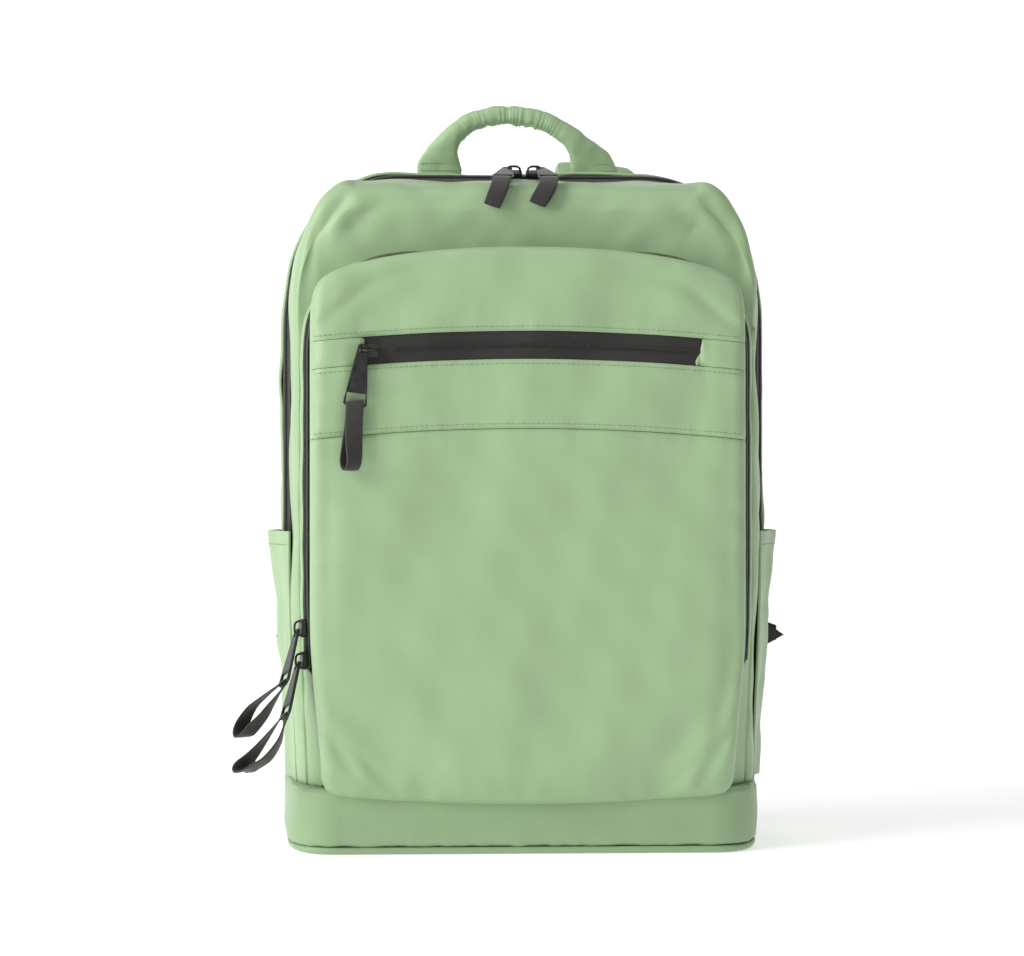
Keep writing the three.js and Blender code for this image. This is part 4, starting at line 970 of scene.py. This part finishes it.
# Back pad: foam under dark grey spacer mesh, sewn down to the back with an air channel in its middle.
# It can't be seen in the photo and is finished plainly.
pad_cloth = woven(
    "dark spacer mesh", (0.085, 0.09, 0.085), (0.03, 0.032, 0.03),
    pitch=0.0022, relief=0.0009, roughness=0.85, sheen=0.3, cloud=0.5,
)
pad_half, pad_low, pad_high, pad_thick = 125, 62, 378, 7


def puff(piece, voxel, pressure, most, frames=20):
    """Fills a stuffed piece a little: its skin as cloth under pressure, no point moving further than a
    number of millimetres."""
    remesh = piece.modifiers.new("even mesh", "REMESH")
    remesh.mode = "VOXEL"
    remesh.voxel_size = voxel * MM
    remesh.use_smooth_shade = True
    settle(piece)
    before = np.empty(len(piece.data.vertices) * 3)
    piece.data.vertices.foreach_get("co", before)
    cloth = piece.modifiers.new("skin", "CLOTH")
    cloth.settings.use_pressure = True
    cloth.settings.uniform_pressure_force = pressure
    cloth.settings.quality = 4
    cloth.settings.mass = 0.2
    cloth.settings.tension_stiffness = 12
    cloth.settings.shear_stiffness = 6
    cloth.settings.bending_stiffness = 0.3
    cloth.settings.effector_weights.gravity = 0
    cloth.point_cache.frame_start = 1
    cloth.point_cache.frame_end = frames
    for step in range(1, frames + 1):
        bpy.context.scene.frame_set(step)
    graph = bpy.context.evaluated_depsgraph_get()
    moved = piece.evaluated_get(graph).to_mesh()
    after = np.empty(len(before))
    moved.vertices.foreach_get("co", after)
    piece.evaluated_get(graph).to_mesh_clear()
    piece.modifiers.clear()
    bpy.context.scene.frame_set(1)
    shift = (after - before).reshape(-1, 3)
    far = np.linalg.norm(shift, axis=1, keepdims=True)
    shift *= np.minimum(1, most * MM / np.maximum(far, 1e-9))
    piece.data.vertices.foreach_set("co", (before + shift.reshape(-1)))
    piece.data.update()


def box_uv(piece):
    """UV in metres, flat from the side that each face looks to most."""
    mesh = piece.data
    uv = mesh.uv_layers.get("cloth") or mesh.uv_layers.new(name="cloth")
    for face in mesh.polygons:
        skip = max(range(3), key=lambda k: abs(face.normal[k]))
        a, b = [k for k in range(3) if k != skip]
        for loop in face.loop_indices:
            co = mesh.vertices[mesh.loops[loop].vertex_index].co
            uv.data[loop].uv = (co[a], co[b])


pad_u, pad_v = np.meshgrid(spaced(250, 5) * 2 - 1, spaced(316, 6))
rim_u = np.clip((1 - np.abs(pad_u)) * pad_half / 9, 0, 1)
rim_v = np.clip(np.minimum(pad_v, 1 - pad_v) * 316 / 9, 0, 1)
dome = np.sqrt(np.clip(1 - (1 - rim_u) ** 2, 0, 1)) * np.sqrt(np.clip(1 - (1 - rim_v) ** 2, 0, 1))
quilt = 1 - 0.5 * bell(pad_u, 0, 0.11)
for level in (0.3, 0.68):
    quilt = quilt * (1 - 0.45 * bell(pad_v, level, 0.018))
pad_x = pad_half * pad_u * (1 - 0.06 * (2 * pad_v - 1) ** 4)
pad_z = pad_low + pad_v * (pad_high - pad_low)
pad_y = body_back + 0.9 + pad_thick * dome * quilt
pad_grid = np.stack([pad_x, pad_y, pad_z], axis=-1)
pad_grid[..., 1] += 0.35 * dome * ripples(pad_grid, 34, 91)
pad = cloth_piece("back_pad_mesh", pad_grid, pad_cloth, (0, 0, 220), 0.7, levels=1)
fit(pad, "pad_mesh", "back_pad")
edge_u = np.concatenate([
    np.column_stack([np.linspace(-1, 1, 60), np.zeros(60)]),
    np.column_stack([np.ones(60), np.linspace(0, 1, 60)]),
    np.column_stack([np.linspace(1, -1, 60), np.ones(60)]),
    np.column_stack([-np.ones(60), np.linspace(1, 0, 60)]),
])
binding_line = np.column_stack([
    (pad_half + 0.5) * edge_u[:, 0] * (1 - 0.06 * (2 * edge_u[:, 1] - 1) ** 4),
    np.full(240, body_back + 1.9), pad_low + edge_u[:, 1] * (pad_high - pad_low),
])
webbing_cloth = woven(
    "charcoal webbing", (0.04, 0.038, 0.036), (0.015, 0.014, 0.013),
    pitch=0.0013, relief=0.00035, roughness=0.72, sheen=0.3, cloud=0.3,
)


def ring_sweep(name, line, radius, material, sides=10):
    """Round cord of a closed line."""
    line = np.asarray(line, float)
    keep = np.linalg.norm(np.roll(line, -1, axis=0) - line, axis=1) > 0.2
    line = line[keep]
    tangent = unit(np.roll(line, -1, axis=0) - np.roll(line, 1, axis=0))
    across = unit(np.cross(tangent, (0, 1, 0)))
    up = np.cross(across, tangent)
    angle = np.linspace(0, 2 * math.pi, sides, endpoint=False)
    grid = (line[:, None] + across[:, None] * (radius * np.cos(angle))[None, :, None]
            + up[:, None] * (radius * np.sin(angle))[None, :, None])
    count = len(line)
    faces = [
        (i * sides + j, i * sides + (j + 1) % sides, ((i + 1) % count) * sides + (j + 1) % sides,
         ((i + 1) % count) * sides + j)
        for i in range(count) for j in range(sides)
    ]
    made = mesh_object(name, grid.reshape(-1, 3), faces, material)
    box_uv(made)
    return made


binding = ring_sweep("back_pad_binding", binding_line, 1.5, webbing_cloth)
fit(binding, "webbing")


# Shoulder straps: foam under green cloth, sewn in at the top of the back, arching over and lying down on
# the pad to a plastic buckle each. Hidden in the photo but for a hump behind the handle.
strap_wide, strap_thick, strap_apart, strap_splay, strap_bow = 58, 10, 98, 22, 22
strap_humps, strap_tilt = {"left": 5, "right": 16}, {"left": 0, "right": 0.36}
strap_end, strap_foot, splay_at_foot = 186, 26, 0.62
webbing_start, webbing_straight, webbing_y, webbing_wide, webbing_narrow = 22.9, 10, 54.6, 25, 10
tab_level, tab_y = 128, 50.7
thread_dark = new_finish("charcoal thread", (0.05, 0.048, 0.045), 0.7)[0]
pad_face = body_back + 0.3 + pad_thick
rest_y = pad_face + strap_thick / 2 + 0.6
strap_line = [
    (0.915, 0.0, -0.58, 0.0), (0.962, 0.0, -0.5, 0.0), (0.985, 0.5, -0.3, 0.0), (0.99, 1.0, 0.22, 0.0),
    (0.975, 0.7, 0.82, 0.0), (0.935, 0.0, 1.0, 0.0), (0.84, 0.0, 0.78, 0.02), (0.72, 0.0, 0.42, 0.08),
    (0.6, 0.0, 0.16, 0.26),
]
for label, side in (("left", -1), ("right", 1)):
    points = [
        (side * (strap_apart / 2 + out * strap_splay), rest_y + back * strap_bow,
         body_height * up + hump * strap_humps[label])
        for up, hump, back, out in strap_line
    ]
    points.append((side * (strap_apart / 2 + splay_at_foot * strap_splay), rest_y, strap_end + strap_foot))
    points.append((side * (strap_apart / 2 + strap_splay), rest_y, strap_end))
    line = catmull(points, 110)[4:]
    count = len(line)
    tangent = unit(np.gradient(line, axis=0))
    share = np.linspace(0, 1, count)
    hump_row = np.array([row[1] for row in strap_line] + [0, 0])
    lean = strap_tilt[label] * np.interp(share * (len(hump_row) - 1), np.arange(len(hump_row)), hump_row)
    face = np.column_stack([lean, -tangent[:, 2], tangent[:, 1]])
    across = unit(np.cross(tangent, face))
    normal = np.cross(across, tangent)
    width = strap_wide * (1 - 0.38 * smoothstep(share, 0.86, 1.0)) - 2
    taper = 1 - 0.35 * smoothstep(share, 0.9, 1.0) - 0.3 * (1 - smoothstep(share, 0.0, 0.08))
    thick = strap_thick * taper - 0.8
    grid = sweep(line, across, normal, width, thick, 44, 4.2)
    bulge = 0.4 * ripples(grid, 24, 101 + side) + 0.25 * ripples(grid, 9, 103 + side)
    grid += normal[:, None] * bulge[..., None] * 0.6
    strap = closed_piece(f"shoulder_strap_{label}_cloth", grid, green)
    puff(strap, voxel=5, pressure=4, most=2.2)
    box_uv(strap)
    soften = strap.modifiers.new("smooth", "SUBSURF")
    soften.levels = soften.render_levels = 1
    settle(strap)
    fit(strap, "shell_fabric", f"shoulder_strap_{label}")
    inset = 0.84
    rows = []
    for edge in (-1, 1):
        path = line + across * (edge * width / 2 * inset)[:, None] + normal * (thick / 2 + 0.35)[:, None]
        found = [strap.closest_point_on_mesh((point * MM).tolist()) for point in path[6:-6]]
        on_cloth = np.array([spot[1] for spot in found]) / MM
        out = np.array([spot[2] for spot in found])
        rows.append((on_cloth + out * 0.1, out))
    bead_rows(f"shoulder_strap_{label}_stitches", rows, 3.2, stitch_size, thread, "shell_fabric", 105)

    # Webbing of the strap from its buckle round the back corner to the side tab: flat charcoal webbing,
    # woven with fine ribs.
    turn = math.atan2((1 - splay_at_foot) * strap_splay, strap_foot)
    tip = np.array([side * (strap_apart / 2 + strap_splay), rest_y, strap_end])
    down = np.array([side * math.sin(turn), 0, -math.cos(turn)])
    start = tip + down * webbing_start
    first = start + down * webbing_straight
    reach = {"left": 6, "right": 19}[label]
    tab_tip = np.array([side * (body_half + reach - 4.8), webbing_y, tab_level])
    shares = [
        (0, 1, 0), (0.12, 1, 0.12), (0.5, 0.96, 0.55), (0.78, 0.72, 0.86), (0.93, 0.3, 0.98), (1, 0, 1),
    ]
    path = [start] + [
        (first[0] + (tab_tip[0] - first[0]) * a, tab_tip[1] + (first[1] - tab_tip[1]) * b,
         first[2] + (tab_tip[2] - first[2]) * c) for a, b, c in shares
    ]
    line = catmull(path, 70)
    count = len(line)
    tangent = unit(np.gradient(line, axis=0))
    face = np.column_stack([-tangent[:, 1], tangent[:, 0], np.zeros(count)])
    across = unit(np.cross(tangent, face))
    width = webbing_wide + (webbing_narrow - webbing_wide) * np.linspace(0, 1, count) ** 3
    lanes = np.linspace(-0.5, 0.5, 17)
    grid = line[:, None] + across[:, None] * (width[:, None] * lanes)[..., None]
    normals = grid_normals(grid)
    grid = grid + normals * (0.15 * np.cos(lanes * 2 * math.pi * 6) - 0.7)[None, :, None] * 0.5
    webbing = cloth_piece(f"strap_webbing_{label}_woven", grid, webbing_cloth, (0, 20, 150), 1.5)
    fit(webbing, "webbing", f"strap_webbing_{label}")

    # Side tab that holds the webbing: a doubled piece of webbing folded to a point and sewn into the
    # side, with a short row of stitches across it.
    root, level, tall = body_half - 8, tab_level, 20
    outline = [
        (root, level - tall * 0.6), (root + reach * 0.55, level - tall / 2), (body_half + reach, level - 1),
        (root + reach * 0.5, level + tall / 2), (root, level + tall / 2),
    ]
    low_line = catmull(np.array([outline[0], outline[1], outline[2]]), 26)
    high_line = catmull(np.array([outline[4], outline[3], outline[2]]), 26)
    tab_grid = np.array([
        [(side * a[0], tab_y, a[1]) for a in low_line + (high_line - low_line) * t]
        for t in np.linspace(0, 1, 9)
    ])
    tab = cloth_piece(f"strap_anchor_{label}_webbing", tab_grid, webbing_cloth, (0, 80, 128), 2.6)
    fit(tab, "webbing", f"strap_anchor_{label}")
    mark = np.array([(side * (body_half + reach * 0.28), 50.5, level + z) for z in np.linspace(-6, 6, 12)])
    bead_rows(
        f"strap_anchor_{label}_stitches", [(mark, np.tile((0.0, -1.0, 0.0), (12, 1)))], 2.4, (1.9, 0.6, 0.5),
        thread_dark, "webbing", 111,
    )


# Buckles: frames of black moulded plastic that the webbing is threaded through, their edges rounded and
# their skin slightly dull and grained.
def grained(name, first, second, scale, detail, rough, strength, distance, metallic=0.0):
    """Hard finish: two tones, roughness between two values and a relief, all by one fine grain."""
    material, tree, shader = new_finish(name, first, rough[0], {"Metallic": metallic})
    grain = noise(tree, node(tree, "ShaderNodeTexCoord").outputs["Object"], scale, detail)
    tree.links.new(blend(tree, grain, first, second), shader.inputs["Base Color"])
    tree.links.new(remap(tree, grain, 0.0, 1.0, *rough), shader.inputs["Roughness"])
    tree.links.new(relief_of(tree, grain, strength, distance), shader.inputs["Normal"])
    return material


black = (0.018, 0.018, 0.018)
plastic = grained("black moulded plastic", black, black, 1800.0, 2.0, (0.38, 0.6), 0.35, 0.00008)


def hard_part(name, material, round_by):
    """The CAD piece itself, its edges rounded and its finish bettered."""
    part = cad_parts[name]
    part.data.materials.clear()
    part.data.materials.append(material)
    weld = part.modifiers.new("one skin", "WELD")
    weld.merge_threshold = 0.00002
    bevel = part.modifiers.new("rounded edges", "BEVEL")
    bevel.width = round_by * MM
    bevel.segments = 3
    bevel.limit_method = "ANGLE"
    bevel.angle_limit = math.radians(32)
    part.modifiers.new("even shading", "WEIGHTED_NORMAL")


for label in ("left", "right"):
    hard_part(f"strap_buckle_{label}", plastic, 0.7)


# Zip sliders and pull tabs: cast metal in dark gunmetal, satin, its tone and roughness varied by a fine
# grain.
# Each tab hangs on its slider's bail.
metal = grained(
    "dark gunmetal", (0.035, 0.034, 0.034), (0.085, 0.083, 0.08), 260.0, 6.0, (0.26, 0.46), 0.2, 0.0001,
    metallic=0.85,
)
pullers = ("pocket", "top_left", "top_right", "side_upper", "side_lower")
for label in pullers:
    hard_part(f"slider_{label}", metal, 0.35)
    hard_part(f"pull_tab_{label}", metal, 0.35)


# Ribbon loops: a length of charcoal ribbon through the slot of each pull tab, its ends sewn together at
# the far end.
ribbon_wide, ribbon_thick = 10.6, 0.8

# Columns, from the tab to the far end: x, y and z between the loop's two strands in mm, the turn of the
# ribbon's width towards the back and its tilt upwards in degrees, and half the strands' distance.
loops = {
    "pocket": [
        (-105.6, -73.6, 277.4, 0, 8, 0.0), (-105.7, -73.6, 276.2, 0, 8, 1.3),
        (-106.0, -73.8, 271, 1, 8, 1.6), (-106.6, -74.6, 262, 8, 6, 2.4), (-107.4, -75.8, 251, 22, 4, 3.9),
        (-108.0, -76.9, 242, 34, 2, 4.4), (-108.3, -77.3, 237, 40, 0, 3.0),
        (-108.4, -77.4, 234.8, 41, 0, 0.0),
    ],
    "top_left": [
        (-14.6, -25.8, 418.7, 0, 0, 0.0), (-14.8, -27.2, 418.2, 0, -2, 1.3), (-15.4, -31, 416.4, 0, -5, 1.6),
        (-17.0, -36, 411.6, 0, -10, 2.6), (-19.2, -39.6, 405.8, 0, -15, 3.4),
        (-21.0, -41.2, 401.4, 0, -18, 2.6), (-21.8, -41.6, 398.9, 0, -19, 0.0),
    ],
    "top_right": [
        (14.6, -25.8, 418.7, 0, 0, 0.0), (14.7, -27.2, 418.2, 0, 1, 1.3), (14.4, -31, 416.4, 0, -3, 1.6),
        (12.8, -36, 411.8, 0, -9, 2.4), (9.8, -39.6, 406.2, 0, -15, 3.1), (7.4, -41.2, 402.4, 0, -19, 2.4),
        (6.2, -41.6, 400.0, 0, -21, 0.0),
    ],
    "side_upper": [
        (-148.9, -63.4, 107.2, -63, 22, 0.0), (-149.4, -64.2, 105.8, -66, 20, 1.4),
        (-152.2, -65.4, 102.2, -84, 12, 2.2), (-158.0, -67.0, 96, -104, 4, 3.6),
        (-164.6, -68.6, 88.6, -122, 0, 5.2), (-170.4, -69.8, 80.8, -136, 0, 5.0),
        (-173.2, -70.4, 76.0, -140, 0, 3.4), (-174.4, -70.6, 73.6, -142, 0, 0.0),
    ],
    "side_lower": [
        (-148.2, -63.4, 87.2, -63, 22, 0.0), (-148.7, -64.2, 85.8, -66, 20, 1.4),
        (-151.0, -65.6, 80.6, -84, 12, 2.6), (-155.0, -67.4, 72.4, -104, 4, 4.4),
        (-161.6, -69.2, 63.4, -124, 0, 5.0), (-168.8, -70.4, 57.2, -140, 0, 3.8),
        (-173.4, -71.2, 54.2, -146, 0, 2.2), (-175.4, -71.4, 53.0, -148, 0, 0.0),
    ],
}
ribbon = woven(
    "charcoal ribbon", (0.036, 0.034, 0.032), (0.015, 0.014, 0.013),
    pitch=0.0006, relief=0.0001, roughness=0.62, sheen=0.35, cloud=0.25,
)


def ribbon_loop(name, table):
    table = np.array(table, float)
    ahead = unit(np.gradient(table[:, :3], axis=0))
    turn, tilt = np.radians(table[:, 3]), np.radians(table[:, 4])
    wide = np.column_stack([np.cos(turn) * np.cos(tilt), np.sin(turn) * np.cos(tilt), np.sin(tilt)])
    apart = unit(np.cross(ahead, wide))
    front = table[:, :3] + apart * table[:, 5:]
    back = table[:, :3] - apart * table[:, 5:]
    around = np.concatenate([
        np.column_stack([front, wide]), np.column_stack([back, wide])[-2:0:-1],
    ])
    line = catmull(np.concatenate([around, around[:1]]), 120)[:-1]
    tangent = unit(np.roll(line[:, :3], -1, axis=0) - np.roll(line[:, :3], 1, axis=0))
    across = unit(line[:, 3:] - tangent * (line[:, 3:] * tangent).sum(axis=1, keepdims=True))
    lanes = np.linspace(-0.5, 0.5, 7) * ribbon_wide
    grid = line[None, :, :3] + across[None] * lanes[:, None, None]
    normal = np.cross(tangent, across)
    grid = grid + normal[None] * (0.25 * np.cos(lanes / ribbon_wide * math.pi))[:, None, None]
    middle = line[:, :3].mean(axis=0)
    return cloth_piece(name, grid, ribbon, middle, ribbon_thick, levels=1, ring=True)


for label, table in loops.items():
    loop = ribbon_loop(f"pull_loop_{label}_ribbon", table)
    fit(loop, "webbing", f"pull_loop_{label}")
